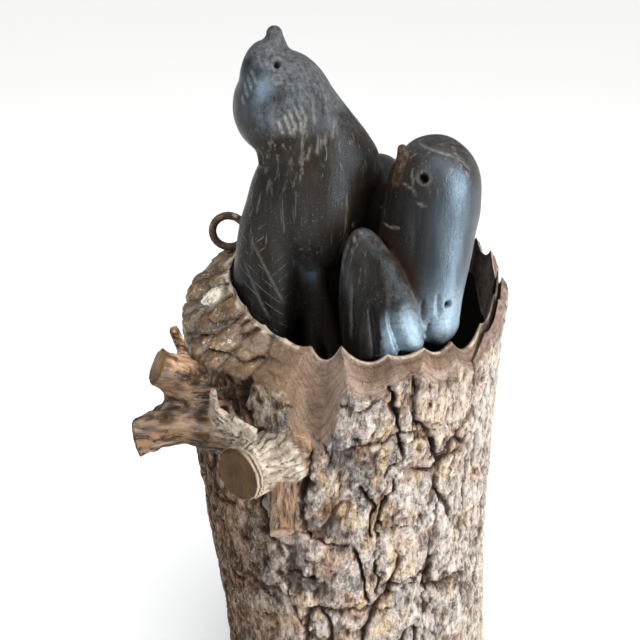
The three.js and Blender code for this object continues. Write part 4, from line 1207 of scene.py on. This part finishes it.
def log_finish(s):
    """Bark, gouged wood, torn fibre and cut ends, each where the mesh says."""
    f = Finish("bark_and_cut_wood")
    side, high = f.mask("side"), f.mask("high")
    layer, below, fibre = f.mask("layer"), f.mask("below"), f.mask("fibre")
    hammered, upright = f.mask("hammered"), f.mask("upright")
    is_bark, is_stub = f.mask("bark"), f.mask("stub")

    # Bark: patches, painted shade on the left side and painted light on the right side, then grit, painted
    # shade in the low relief, painted highlights on the high grit, and furrows painted dark as shade
    grit = f.noise(430, 7, 0.85, 0.3, f.stretch((1, 1, 0.5)))
    patch = f.noise(105, 6, 0.75, 0.6, f.stretch((1, 1, 0.55)))
    bark = f.mix(f.between(patch, 0.42, 0.60), s.bark_grey, s.bark_cream_and_painted_light)
    moved = f.stretch((0.9, 1, 0.8), (1.2, 0.5, 0.1))
    bark = f.mix(f.between(f.noise(60, 6, 0.75, 0.5, moved), 0.47, 0.60, 0.0, 0.85), bark, s.bark_rose)
    moved = f.stretch((1, 1, 0.8), (0.4, 0.2, 0.9))
    ochre = f.between(f.noise(80, 6, 0.75, 0.6, moved), 0.51, 0.57)
    ochre = f.times(ochre, f.between(side, 0.1, 0.7, 0.35, 0.9))
    bark = f.mix(ochre, bark, s.bark_ochre)
    moved = f.stretch((1, 1, 0.7), (0.1, 1.1, 0.6))
    bark = f.mix(f.between(f.noise(75, 6, 0.75, 0.4, moved), 0.52, 0.57, 0.0, 0.85), bark, s.bark_blue)
    # Painted shade: the left side of the bark is mixed towards a dark olive for the shade that falls
    # there.
    shaded = f.mix(f.between(patch, 0.44, 0.58), s.bark_painted_shade, (0.32, 0.19, 0.105))
    bark = f.mix(f.between(side, 0.08, 0.38, 0.92, 0.0), bark, shaded)
    # Painted light: the right side of the bark is mixed towards cream for the light that falls there.
    bark = f.mix(f.between(side, 0.36, 0.92, 0.0, 0.6), bark, s.bark_cream_and_painted_light)
    # Painted shade: the bark is darker where its relief sinks low.
    dark = f.darker(bark, (0.46, 0.39, 0.34))
    bark = f.mix(f.between(high, 0.05, 0.65), dark, bark)
    bark = f.mix(f.between(grit, 0.38, 0.54), f.darker(bark, (0.19, 0.155, 0.135)), bark)
    # Painted highlights: pale flecks on the high grit, stronger towards the lit right side.
    pale = f.times(f.between(grit, 0.53, 0.61), f.between(high, 0.3, 0.9, 0.2, 1.0))
    bark = f.mix(f.times(pale, f.between(side, 0.1, 0.5, 0.4, 0.85)), bark, (0.89, 0.83, 0.74))
    # Painted shade: the cracks and furrows are coloured near black.
    bark = f.mix(f.between(f.mask("crack"), 0.25, 0.95), bark, s.bark_furrow)

    # Gouge cuts: grain, the layers that they cut through, the marks of the tool and grime
    grain = f.noise(46, 6, 0.7, 0.8, f.stretch((3.2, 3.2, 0.4)))
    cloud = f.noise(120, 5, 0.7, 0.4, moved)
    mottle = f.noise(85, 7, 0.8, 0.5, moved)
    cut = f.mix(f.between(side, 0.2, 0.62), s.cut_brown, s.cut_pale)
    cut = f.mix(f.between(grain, 0.38, 0.66, 0.0, 0.7), cut, f.darker(cut, (0.42, 0.36, 0.32)))
    cut = f.mix(f.between(cloud, 0.48, 0.66, 0.0, 0.5), cut, f.darker(cut, (0.95, 0.74, 0.64)))
    inner = f.times(f.between(layer, 0.34, 0.42), f.between(side, 0.42, 0.55))
    cut = f.mix(f.times(inner, 0.8), cut, f.darker(cut, (0.74, 0.66, 0.55)))
    rind = f.mix(f.between(grit, 0.40, 0.58), (0.20, 0.14, 0.11), (0.44, 0.33, 0.27))
    outer = f.times(f.between(layer, 0.26, 0.36, 0.8, 0.0), f.between(side, 0.3, 0.5))
    cut = f.mix(outer, cut, rind)
    seam = f.fold(layer, 0.32)
    seam = f.times(f.between(seam, 0.27, 0.32), f.between(cloud, 0.42, 0.6))
    cut = f.mix(f.times(seam, 0.6), cut, (0.07, 0.045, 0.030))
    band = f.fold(below, 0.17)
    band = f.times(f.between(band, 0.12, 0.16), f.between(grit, 0.36, 0.56))
    cut = f.mix(f.times(band, 0.6), cut, f.darker(cut, (0.36, 0.28, 0.22)))
    cut = f.mix(f.between(grit, 0.34, 0.46, 0.4, 0.0), cut, f.darker(cut, (0.4, 0.33, 0.28)))

    # The faceted wall at the left
    wall = f.mix(f.between(mottle, 0.40, 0.62), (0.046, 0.021, 0.006), (0.165, 0.088, 0.028))
    wall = f.mix(f.between(cloud, 0.5, 0.68, 0.0, 0.7), wall, (0.29, 0.19, 0.095))
    wall = f.mix(f.between(side, 0.08, 0.3, 0.0, 0.4), wall, (0.24, 0.155, 0.095))
    wall = f.mix(f.between(grit, 0.36, 0.5, 0.7, 0.0), wall, (0.03, 0.018, 0.009))
    glint = f.times(f.between(f.noise(600, 4, 0.8), 0.57, 0.66), f.between(cloud, 0.46, 0.58))
    wall = f.mix(f.times(glint, 0.9), wall, (0.80, 0.66, 0.52))
    # Painted shade: the creases between the facets are coloured near black.
    wall = f.mix(f.between(f.mask("gap"), 0.02, 0.20, 0.95, 0.0), wall, (0.030, 0.015, 0.006))
    cut = f.mix(f.times(hammered, 0.95), cut, wall)

    # The edge of the bark painted dark as shade where it meets the cut, the painted shade under the lip,
    # the pale lip and the worn spot
    cut = f.mix(f.times(f.mask("edge"), 0.6), cut, (0.11, 0.072, 0.048))
    shade = f.times(f.between(below, 0.3, 0.7, 0.9, 0.0), f.between(side, 0.38, 0.50))
    shade = f.times(shade, f.between(cloud, 0.36, 0.60, 0.6, 1.0))
    cut = f.mix(shade, cut, f.darker(cut, (0.46, 0.40, 0.36)))
    lip = f.times(f.between(below, 0.03, 0.11, 0.75, 0.0), f.between(cloud, 0.38, 0.55))
    cut = f.mix(lip, cut, (0.66, 0.55, 0.44))
    worn = f.mix(f.between(f.noise(420, 5, 0.8), 0.42, 0.56), (0.30, 0.25, 0.15), (0.80, 0.77, 0.66))
    cut = f.mix(f.mask("worn"), cut, worn)
    colour = f.mix(is_bark, cut, bark)

    # Branch stubs: fibres that run along them, long streaks of painted highlight, the pale collar and the
    # sawn ends
    streak = f.noise(80, 6, 0.75, 0.7, f.stretch((0.5, 2.2, 2.2)))
    streak = f.blend(upright, streak, f.noise(80, 6, 0.75, 0.7, f.stretch((2.6, 2.6, 0.5))))
    stub = f.mix(f.between(streak, 0.42, 0.57), (0.038, 0.022, 0.012), s.stub_brown)
    # Painted highlights: long pale streaks that run along the stubs.
    long = f.noise(160, 6, 0.75, 0.4, f.stretch((0.5, 1.6, 1.6)))
    long = f.blend(upright, long, f.noise(130, 6, 0.75, 0.4, f.stretch((1.8, 1.8, 0.4))))
    stub = f.mix(f.between(long, 0.50, 0.64, 0.0, 0.85), stub, (0.54, 0.355, 0.225))
    torn = f.times(f.between(fibre, 0.15, 0.6, 0.8, 0.0), f.between(upright, 0.0, 1.0, 1.0, 0.0))
    stub = f.mix(torn, stub, (0.034, 0.020, 0.011))
    pale = f.mix(f.between(fibre, 0.15, 0.8), (0.09, 0.052, 0.028), s.collar)
    pale = f.mix(f.between(f.noise(240, 6, 0.8, 0.5), 0.40, 0.60, 0.75, 0.0), pale, (0.16, 0.100, 0.055))
    pale = f.mix(f.between(mottle, 0.5, 0.64, 0.0, 0.6), pale, (0.58, 0.41, 0.22))
    stub = f.mix(f.mask("collar"), stub, pale)
    end = f.mix(f.between(grain, 0.4, 0.66, 0.0, 0.7), s.stub_end, (0.030, 0.016, 0.007))
    end = f.mix(f.between(mottle, 0.5, 0.66, 0.0, 0.5), end, (0.16, 0.095, 0.040))
    cut_end = f.between(f.mask("end"), 0.15, 0.5)
    stub = f.mix(cut_end, stub, end)
    rings = f.between(f.fold(f.mask("behind"), 0.06), 0.02, 0.04)
    stub = f.mix(f.mask("lip_ring"), stub, f.mix(rings, (0.12, 0.070, 0.040), (0.66, 0.54, 0.42)))
    fresh = f.mix(f.between(mottle, 0.4, 0.6), (0.62, 0.46, 0.36), (0.40, 0.25, 0.17))
    stub = f.mix(f.mask("pale_end"), stub, fresh)
    stub = f.mix(f.mask("red"), stub, (0.16, 0.028, 0.012))
    colour = f.mix(is_stub, colour, stub)

    # The hollow, painted near black as shade, and the sawn foot
    hollow = f.mix(f.between(grain, 0.3, 0.7), s.inside, (0.010, 0.006, 0.003))
    colour = f.mix(f.mask("inside"), colour, hollow)
    sawn = f.mix(f.between(grain, 0.3, 0.7), (0.30, 0.21, 0.13), (0.17, 0.11, 0.07))
    colour = f.mix(f.mask("sawn"), colour, sawn)

    # Roughness, relief and gloss
    polish = f.between(f.noise(130, 4), 0.38, 0.62, 0.28, 0.55)
    rough = f.blend(hammered, polish, f.between(mottle, 0.4, 0.6, 0.16, 0.34))
    rough = f.blend(is_bark, rough, 0.88)
    rough = f.blend(is_stub, rough, f.blend(cut_end, f.between(long, 0.46, 0.60, 0.6, 0.3), 0.3))
    rough = f.blend(f.mask("inside"), rough, 0.85)
    smooth = f.noise(420, 5, 0.7)
    coarse = f.noise(190, 7, 0.8, 0.4, f.stretch((1, 1, 0.6)))
    calm = f.times(hammered, 0.75)
    normal = f.bump(f.blend(is_bark, f.blend(calm, smooth, 0.5), grit), 0.0024, 1.0)
    normal = f.bump(f.blend(is_bark, f.blend(calm, cloud, 0.5), coarse), 0.0030, 0.8, normal)
    dull = f.between(side, 0.15, 0.5, 0.06, 0.22)
    shine = f.blend(is_bark, f.blend(hammered, 0.4, 0.8), dull)
    shine = f.blend(is_stub, shine, f.blend(cut_end, f.between(long, 0.46, 0.60, 0.15, 0.9), 0.08))
    return f.surface(colour, rough, normal, **{"Specular IOR Level": shine})


def bird_finish(s):
    """Stained dark wood, paler on the high places, partly rubbed and partly painted sheen, and scratched.
    """
    f = Finish("black_stained_wood")
    grain = f.noise(60, 6, 0.7, 0.5, f.stretch((3.4, 3.4, 0.35)))
    cloud = f.noise(38, 5, 0.7)
    speck = f.noise(620, 5, 0.85)
    colour = f.mix(f.between(grain, 0.42, 0.68, 0.0, 0.5), s.black, f.mix(0.35, s.brown, s.worn))
    colour = f.mix(f.mask("valley"), colour, s.brown)
    # Partly rubbed stain, partly painted sheen: paler, bluish tops of the forms and the adult's head.
    rubbed = f.between(f.work("ADD", cloud, f.times(f.mask("rubbed"), 0.26)), 0.60, 0.80)
    rubbed = f.times(rubbed, f.between(speck, 0.38, 0.60, 0.30, 1.0))
    lines = f.noise(190, 5, 0.75, 0.4, f.stretch((2.6, 2.6, 0.3)))
    rubbed = f.times(rubbed, f.between(lines, 0.36, 0.60, 0.55, 1.0))
    colour = f.mix(rubbed, colour, s.worn)
    colour = f.mix(f.times(f.mask("streaks"), 0.5), colour, (0.028, 0.020, 0.014))
    # Painted reflection: the chick's low flank is mixed towards pale blue for the window reflected in it.
    flank = f.times(f.mask("flank"), f.between(speck, 0.36, 0.6, 0.3, 0.6))
    colour = f.mix(flank, colour, (0.24, 0.34, 0.42))
    bill = f.mix(f.between(speck, 0.4, 0.6), (0.02, 0.012, 0.006), (0.10, 0.062, 0.034))
    colour = f.mix(f.mask("beak"), colour, bill)

    # Nicks, dust, streaks, hatching and knife cuts, all pale
    nick = f.noise(520, 3, 0.6, 0.2, f.stretch((1.0, 1.0, 0.22), (0.25, 0.5, 0.0)))
    other = f.noise(480, 3, 0.6, 0.2, f.stretch((0.22, 1.0, 1.0), (0.0, 0.6, 0.0)))
    nicks = f.most(f.between(nick, 0.68, 0.76), f.between(other, 0.69, 0.77))
    nicks = f.times(nicks, f.between(f.noise(55, 3), 0.50, 0.64, 0.0, 0.4))
    dust = f.times(f.between(f.noise(1500, 3), 0.62, 0.70), f.between(f.noise(60, 3), 0.46, 0.62))
    pale = f.most(nicks, f.times(dust, 0.25))
    streak = f.noise(330, 4, 0.7, 0.15, f.stretch((1.5, 1.5, 0.07)))
    streaks = f.times(f.between(streak, 0.56, 0.68), f.mask("streaks"))
    pale = f.most(pale, f.times(streaks, 0.36))
    for name, degrees in HATCHING.items():
        turned = f.stretch((1, 1, 1), (0, math.radians(degrees), 0))
        across = f.add("ShaderNodeSeparateXYZ", {"Vector": turned}).outputs["X"]
        line = f.between(f.fold(across, HATCH_SPACING / 2), 0.00005, 0.00024, 1.0, 0.0)
        broken = f.between(f.noise(260, 3, 0.6, 0.0, turned), 0.42, 0.60)
        line = f.times(f.times(line, broken), f.mask(name))
        pale = f.most(pale, f.times(line, 0.36))
    broken = f.between(f.noise(700, 4, 0.7), 0.36, 0.56, 0.35, 1.0)
    pale = f.most(pale, f.times(f.mask("cut"), broken))
    colour = f.mix(f.times(pale, 0.75), colour, s.scratch)
    # Painted shade: the pits are coloured near black.
    colour = f.mix(f.mask("pit"), colour, (0.002, 0.0015, 0.001))

    # Roughness, relief and gloss
    rough = f.between(f.noise(95, 5, 0.7), 0.35, 0.68, 0.20, 0.36)
    rough = f.blend(f.mask("valley"), rough, 0.6)
    rough = f.blend(rubbed, rough, 0.45)
    rough = f.blend(pale, rough, 0.6)
    handled = f.between(speck, 0.35, 0.65, 0.30, 0.42)
    rough = f.blend(f.times(f.mask("polished"), 0.8), rough, handled)
    normal = f.bump(grain, 0.0005, 0.30)
    normal = f.bump(speck, 0.00018, 0.8, normal)
    normal = f.bump(f.noise(120, 2, 0.5), 0.0010, 0.15, normal)
    normal = f.bump(pale, -0.0004, 0.6, normal)
    shine = f.blend(f.mask("pit"), f.blend(f.mask("polished"), 0.13, 1.0), 0.0)
    sheen = {"Specular IOR Level": shine, "Specular Tint": (0.52, 0.78, 1.0, 1.0)}
    return f.surface(colour, rough, normal, **sheen)


def iron_finish(s):
    """Rusty wire with bare high spots."""
    f = Finish("rusty_wire")
    rust = f.noise(320, 5, 0.65)
    colour = f.mix(f.between(rust, 0.4, 0.62), s.rust, (0.05, 0.032, 0.024))
    colour = f.mix(f.between(f.noise(900, 3), 0.55, 0.7, 0.0, 0.6), colour, (0.23, 0.105, 0.045))
    bare = f.times(f.between(f.noise(240, 3), 0.52, 0.6), f.mask("bare"))
    colour = f.mix(bare, colour, s.worn)
    rough = f.between(rust, 0.3, 0.7, 0.42, 0.78)
    return f.surface(colour, rough, f.bump(f.noise(700, 5, 0.7), 0.0004, 0.8), Metallic=0.55)


def floor_finish(s):
    """A plain pale floor."""
    f = Finish("plain_floor")
    shade = f.mix(f.between(f.noise(2.0, 2), 0.3, 0.7, 0.0, 0.05), s.floor, (0.82, 0.82, 0.815))
    return f.surface(shade, 0.8, f.bump(f.noise(160, 2), 0.0002, 0.05))


# Operators

# The screw eye: faces round its wire, rings of points down its shank, and how much thinner than the
# plain wire the pitted ring and the shank are, all round.
WIRE_SIDES = 24
SHANK_ROWS = 40
RING_INSET = 0.09
SHANK_INSET = 0.25
# Half the floor's width in metres, and the place that the lamps shine on.
FLOOR_REACH = 6
LIT_PLACE = (-0.01, 0, 0.19)
# The lamps: kind, place, tint and form.
LAMPS = {
    "window": (
        "AREA",
        (0.615, -0.415, 0.37),
        (1.0, 0.985, 0.965),
        {"shape": "RECTANGLE", "size": 0.12, "size_y": 0.68},
    ),
    "side": ("AREA", (-0.62, -0.40, 0.80), (0.92, 0.96, 1.0), {"shape": "DISK", "size": 0.16}),
    "overhead": ("SUN", (0.10, -0.25, 1.20), (1.0, 0.99, 0.975), {"angle": math.radians(50)}),
}


class CARVING_OT_log(bpy.types.Operator):
    """Make the hollow log with its bark, its gouged rim and its sawn branches"""

    bl_idname = "carving.make_log"
    bl_label = "Log"

    def execute(self, context):
        s = context.scene.carving_log
        log = Log(s)
        stubs = Stubs(log)
        material = log_finish(s)
        piece = make_piece("hollow_log", *log_shape(log, s.columns), material)

        axes = [np.arange(low, high, s.cell * MM) for low, high in zip(*STUB_BOX)]

        def kept(p):
            """The stubs, cut off short of the hollow."""
            core = np.hypot(p[..., 0] - log.x, p[..., 1]) - log.radius - 1.5
            return np.maximum(stubs.field(p), -core)

        points, quads, normals = smooth_skin(kept, axes)
        rough = stubs.roughness(points) * (1 - 0.8 * stubs.ends(points))
        branches = make_piece("branches", points + normals * rough[:, None], [quads], material)
        cut_with(piece, branches, "UNION")
        crack = crack_shape(log, s.crack_width * MM, s.crack_depth * MM, s.bark_thickness * MM)
        cut_with(piece, make_piece("crack", *crack, material), "DIFFERENCE")

        self.paint_log(piece.data, log, stubs)
        piece.data.set_sharp_from_angle(angle=math.radians(SHARP))
        finish_piece(piece, "trunk")
        return {"FINISHED"}

    @staticmethod
    def paint_log(mesh, log, stubs):
        """Tells the material what each point is made of."""
        p = points_of(mesh)
        x, y, height = p.T
        turn = np.arctan2(y, x - log.x)
        reach = np.hypot(x - log.x, y)
        flat = log.flat_side(turn, height)
        _, bark, gouged, out, crack, gap, below = log.outside(turn, height)
        is_bark = ramp(gouged - bark, -0.15, 0.5) * (1 - flat)
        stands_out = reach > np.minimum(bark, gouged) + 0.25
        on_stub = ramp(0.9 - np.abs(stubs.field(p)), 0.0, 0.3) * stands_out

        # The thick stub: the collar of torn fibre round it and the lip round its cut end
        _, tip, _, face = stubs.stubs["knob"]
        back = -((p - tip) @ face)
        from_tip = x - tip[0]
        up = height - tip[2]
        collar = ramp(COLLAR_REACH - away(p, tip), 0, 3) * ramp(back, 0.2, 1.5)
        collar = collar * ramp(from_tip + 0.5 * up, -6, 3) * ramp(stubs.stub(p, "small"), 0.6, 1.8)
        from_axis = np.linalg.norm(np.cross(p - tip, face), axis=-1)
        ring = ramp(back, 0.05, 0.35) * ramp(2.5 - back, 0, 0.4) * ramp(from_axis, *LIP_RADII)
        ring = ring * ramp(from_tip - 0.3 * up, -3, 3)

        worn = log.place(math.radians(WORN_SPOT[0]), *WORN_SPOT[1:])
        _, small_tip, _, small_face = stubs.stubs["small"]
        cut_away = (p - small_tip) @ small_face
        near = ramp(5.5 - away(p, small_tip), 0, 1) * ramp(cut_away, -0.9, -0.3)
        flap = ramp(0.8 - stubs.splinter(p), 0, 1)
        paint(
            mesh,
            bark=is_bark,
            crack=crack * is_bark,
            high=ramp(out, -1.6, 0.15),
            layer=np.clip((log.bark(turn, height) - reach) / 10, 0, 1),
            fibre=0.5 + 0.5 * (stubs.fibres(p) * (1 - flap) + 0.9 * flap),
            side=np.clip((x + 65) / 125, 0, 1),
            # Painted shade: where the hollow is coloured near black.
            inside=ramp(log.radius + 0.75 - reach, 0, 0.4) * (height > log.floor - 1),
            edge=ramp(0.7 - np.abs(gouged - bark + 0.2), 0, 0.6) * (1 - flat),
            worn=ramp(WORN_RADIUS - away(p, worn), 0, 3.5),
            stub=on_stub,
            end=stubs.ends(p) * on_stub,
            collar=np.maximum(collar, flap) * on_stub,
            red=ramp(3.2 - away(p, stubs.hole), 0, 1.6),
            sawn=height < 0.05,
            hammered=flat,
            gap=gap,
            below=below / 10,
            lip_ring=ring * on_stub,
            behind=np.clip(back / 10, 0, 1),
            pale_end=near * on_stub,
            upright=ramp(3 - stubs.stub(p, "small"), 0, 2),
        )


class CARVING_OT_birds(bpy.types.Operator):
    """Make the adult bird and the chick from their block of dark wood"""

    bl_idname = "carving.make_birds"
    bl_label = "Birds"

    def execute(self, context):
        s = context.scene.carving_birds
        log = Log(context.scene.carving_log)
        fine, coarse = 2 * s.fine * MM, 2 * s.coarse * MM
        low, high = BIRD_BOX
        axes = [
            spaced(low[0], high[0], fine, coarse, lambda x: True),
            spaced(low[1], high[1], 1.2 * fine, coarse, lambda y: y < FINE_BACK),
            spaced(low[2], high[2], fine, coarse, lambda z: z > FINE_DOWN),
        ]
        points, quads, normals = smooth_skin(birds_field, axes)
        tooled = noise3(points, 11.0, 51) * 0.22 + noise3(points * (1.6, 1.6, 0.5), 5.0, 52) * 0.1
        moved, cut, pit = cut_birds(
            points - normals * (BIRD_INSET - tooled)[:, None], normals, s.cut_depth
        )

        scale = (log.radius - s.clearance * MM) / BLOCK_RADIUS
        lowest, highest = (np.array(corner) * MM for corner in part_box("birds"))
        placed = moved * (scale, scale, (highest[2] - lowest[2]) / BLOCK_HEIGHT) + (log.x, 0, lowest[2])
        placed[:, 2] = np.clip(placed[:, 2], lowest[2], highest[2])
        piece = make_piece("adult_and_chick", placed, [quads], bird_finish(s))
        self.paint_birds(piece.data, points, normals, cut, pit)
        finish_piece(piece, "birds")
        return {"FINISHED"}

    @staticmethod
    def paint_birds(mesh, p, normals, cut, pit):
        """Tells the material where the wood is worn and where sheen and reflection are painted, where it
        is shaded and cut, from its places on the block.
        """
        x, z = p[:, 0], p[:, 2]
        valley = ramp(1 - birds_field(p + normals * 7) / 7, 0.12, 0.6)
        deep = ramp(1 - birds_field(p + normals * 2.5) / 2.5, 0.15, 0.7)
        front = ramp(-normals[:, 1], 0.0, 0.3)
        neck = front * ramp(z, 124, 134) * ramp(150 - z, 0, 10)
        breast = front * ramp(z, 92, 104) * ramp(132 - z, 0, 10) * ramp(-x, -4, 4)
        head = ramp(z, 132, 158) * ramp(-x, 4, 12) * (0.15 + 0.85 * ramp(x, -42, -31))
        chick_beak = limb(p, (11.7, -21.8, 130), (10.7, -20.4, 140), 3.7, 1.5)
        adult_beak = limb(p, (-30, -6, 168), (-30.2, -6, 174), 5.2, 2.5)
        beak = np.minimum(chick_beak, adult_beak)

        wing_zone = front * ramp(-x, 24, 30) * ramp(z, 66, 74) * ramp(118 - z, 0, 12)
        fold = near_path(x, z, WING_FOLD)[0]
        past = x - across_path(z, WING_FOLD)

        right_side = ramp(x, 14, 25) * ramp(z, 76, 86) * ramp(142 - z, 0, 8)
        polished = right_side * ramp(-normals[:, 1] + 0.6 * normals[:, 0], 0, 0.5)
        for px, pz, radius in POLISHED:
            spot = ramp(radius - np.hypot(x - px, z - pz), 0, 0.7 * radius)
            polished = np.maximum(polished, front * spot)
        # Painted reflection: the chick's low flank, where the window is reflected.
        low_flank_reflection = polished * ramp(106 - z, 0, 22) * (x > 4)
        # Paler on upward faces, the adult's head and the chick's low flank: partly rubbed stain, partly
        # painted sheen and painted reflection.
        rubbed = 0.9 * ramp(normals[:, 2], 0.1, 0.9) + 1.1 * head + 1.3 * low_flank_reflection
        paint(
            mesh,
            valley=np.clip(valley * 0.85 + deep * 0.4, 0, 1),
            cut=cut,
            pit=pit,
            streaks=np.clip(neck + 0.8 * breast, 0, 1),
            beak=ramp(0.9 - beak, 0, 0.8) * (0.15 + 0.6 * (x > 0)),
            hatch_left=wing_zone * ramp(-past, 0.5, 1.5) * ramp(12 - fold, 0, 4),
            hatch_right=wing_zone * ramp(past, 0.5, 1.5) * ramp(9 - fold, 0, 4),
            polished=polished,
            rubbed=np.clip(rubbed, 0, 1.6),
            flank=low_flank_reflection,
        )


class CARVING_OT_ring(bpy.types.Operator):
    """Make the rusty screw eye in the rim"""

    bl_idname = "carving.make_ring"
    bl_label = "Screw eye"

    def execute(self, context):
        s = context.scene.carving_ring
        low, high = (np.array(corner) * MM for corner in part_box("hanging_ring"))
        wire, steps, sides = s.wire * MM / 2, s.steps, WIRE_SIDES
        radius = s.diameter * MM / 2 - wire
        centre = (low + high) / 2
        centre[2] = high[2] - s.diameter * MM / 2
        round_ring = np.linspace(0, 2 * math.pi, steps, endpoint=False)
        round_wire = np.linspace(0, 2 * math.pi, sides, endpoint=False)
        turn, roll = np.meshgrid(round_ring, round_wire, indexing="ij")
        normal = np.stack([np.cos(turn) * np.cos(roll), np.sin(roll), np.sin(turn) * np.cos(roll)], -1)
        middle = np.stack([np.cos(turn), 0 * turn, np.sin(turn)], -1) * radius
        face = (middle + normal * wire).reshape(-1, 3)
        pitted = noise3(face, 1.1, 61).reshape(turn.shape) * 0.07 - RING_INSET
        points = (centre + middle + normal * (wire + pitted)[..., None]).reshape(-1, 3)
        at = np.arange(steps * sides).reshape(steps, sides)
        after, beside = np.roll(at, -1, axis=0), np.roll(at, -1, axis=1)
        quads = np.stack([at, beside, np.roll(after, -1, axis=1), after], -1).reshape(-1, 4)

        piece = make_piece("screw_eye", points, [quads], iron_finish(s))
        foot = centre[2] - radius
        heights = np.linspace(foot - s.shank * MM - wire + 0.3, foot, SHANK_ROWS)
        thread = 0.16 * np.sin(heights * 5.0) * (heights < foot - 4)
        thick = (wire - SHANK_INSET + thread)[:, None]
        up = heights[:, None] + 0 * round_wire
        shank = np.stack([thick * np.cos(round_wire), thick * np.sin(round_wire), up], -1)
        shank[..., :2] += centre[:2]
        ends = [np.array([centre[0], centre[1], h]) for h in (heights[0], heights[-1])]
        rod = make_piece("shank", *skin(ends[0], shank, ends[1]), piece.data.materials[0])
        cut_with(piece, rod, "UNION")
        _, y, z = points_of(piece.data).T
        bare = ramp(z, centre[2] - 2, centre[2] + 6) * ramp(-(y - centre[1]), -0.5, 1)
        paint(piece.data, bare=bare)
        finish_piece(piece, "hanging_ring")
        return {"FINISHED"}


class CARVING_OT_stage(bpy.types.Operator):
    """Make the floor, the lights and the camera"""

    bl_idname = "carving.make_stage"
    bl_label = "Stage"

    def execute(self, context):
        s = context.scene.carving_stage
        scene = context.scene
        corners = np.array([(-1, -1, 0), (1, -1, 0), (1, 1, 0), (-1, 1, 0)]) * FLOOR_REACH * MM
        make_piece("floor", corners, [np.array([[0, 1, 2, 3]])], floor_finish(s))

        data = bpy.data.cameras.new("camera")
        data.sensor_width = 36
        data.angle = s.field
        data.clip_start = 0.01
        camera = bpy.data.objects.new("camera", data)
        back = np.array([0, -math.cos(s.elevation), math.sin(s.elevation)])
        camera.location = np.array(s.target) + s.distance * back
        camera.rotation_euler = (math.pi / 2 - s.elevation, 0, 0)
        scene.collection.objects.link(camera)
        scene.camera = camera

        for name, (kind, place, tint, form) in LAMPS.items():
            data = bpy.data.lights.new(name, kind)
            data.energy = getattr(s, name)
            data.color = tint
            for setting, value in form.items():
                setattr(data, setting, value)
            lamp = bpy.data.objects.new(name, data)
            lamp.location = place
            x, y, z = np.array(place) - LIT_PLACE
            lamp.rotation_euler = (math.atan2(math.hypot(x, y), z), 0, math.atan2(y, x) + math.pi / 2)
            scene.collection.objects.link(lamp)
        world = bpy.data.worlds.new("studio")
        world.use_nodes = True
        sky = world.node_tree.nodes["Background"]
        sky.inputs["Color"].default_value = (0.97, 0.98, 1.0, 1.0)
        sky.inputs["Strength"].default_value = s.sky
        scene.world = world
        scene.view_settings.view_transform = "Standard"
        return {"FINISHED"}


class CARVING_PT_panel(bpy.types.Panel):
    """Lists the pieces of the carving"""

    bl_idname = "CARVING_PT_panel"
    bl_label = "Bird Tree Carving"
    bl_space_type = "VIEW_3D"
    bl_region_type = "UI"
    bl_category = "Carving"

    def draw(self, context):
        for settings, _, operator in PARTS:
            box = self.layout.box()
            box.operator(operator.bl_idname)
            group = getattr(context.scene, settings)
            for name in group.bl_rna.properties.keys():
                if name not in ("rna_type", "name"):
                    box.prop(group, name)


PARTS = [
    ("carving_log", LogSettings, CARVING_OT_log),
    ("carving_birds", BirdSettings, CARVING_OT_birds),
    ("carving_ring", RingSettings, CARVING_OT_ring),
    ("carving_stage", StageSettings, CARVING_OT_stage),
]


def register():
    for settings, group, operator in PARTS:
        bpy.utils.register_class(group)
        bpy.utils.register_class(operator)
        setattr(bpy.types.Scene, settings, bpy.props.PointerProperty(type=group))
    bpy.utils.register_class(CARVING_PT_panel)


def unregister():
    bpy.utils.unregister_class(CARVING_PT_panel)
    for settings, group, operator in reversed(PARTS):
        delattr(bpy.types.Scene, settings)
        bpy.utils.unregister_class(operator)
        bpy.utils.unregister_class(group)


def main():
    register()
    bpy.ops.carving.make_stage()
    bpy.ops.carving.make_log()
    bpy.ops.carving.make_birds()
    bpy.ops.carving.make_ring()


if __name__ == "__main__":
    main()
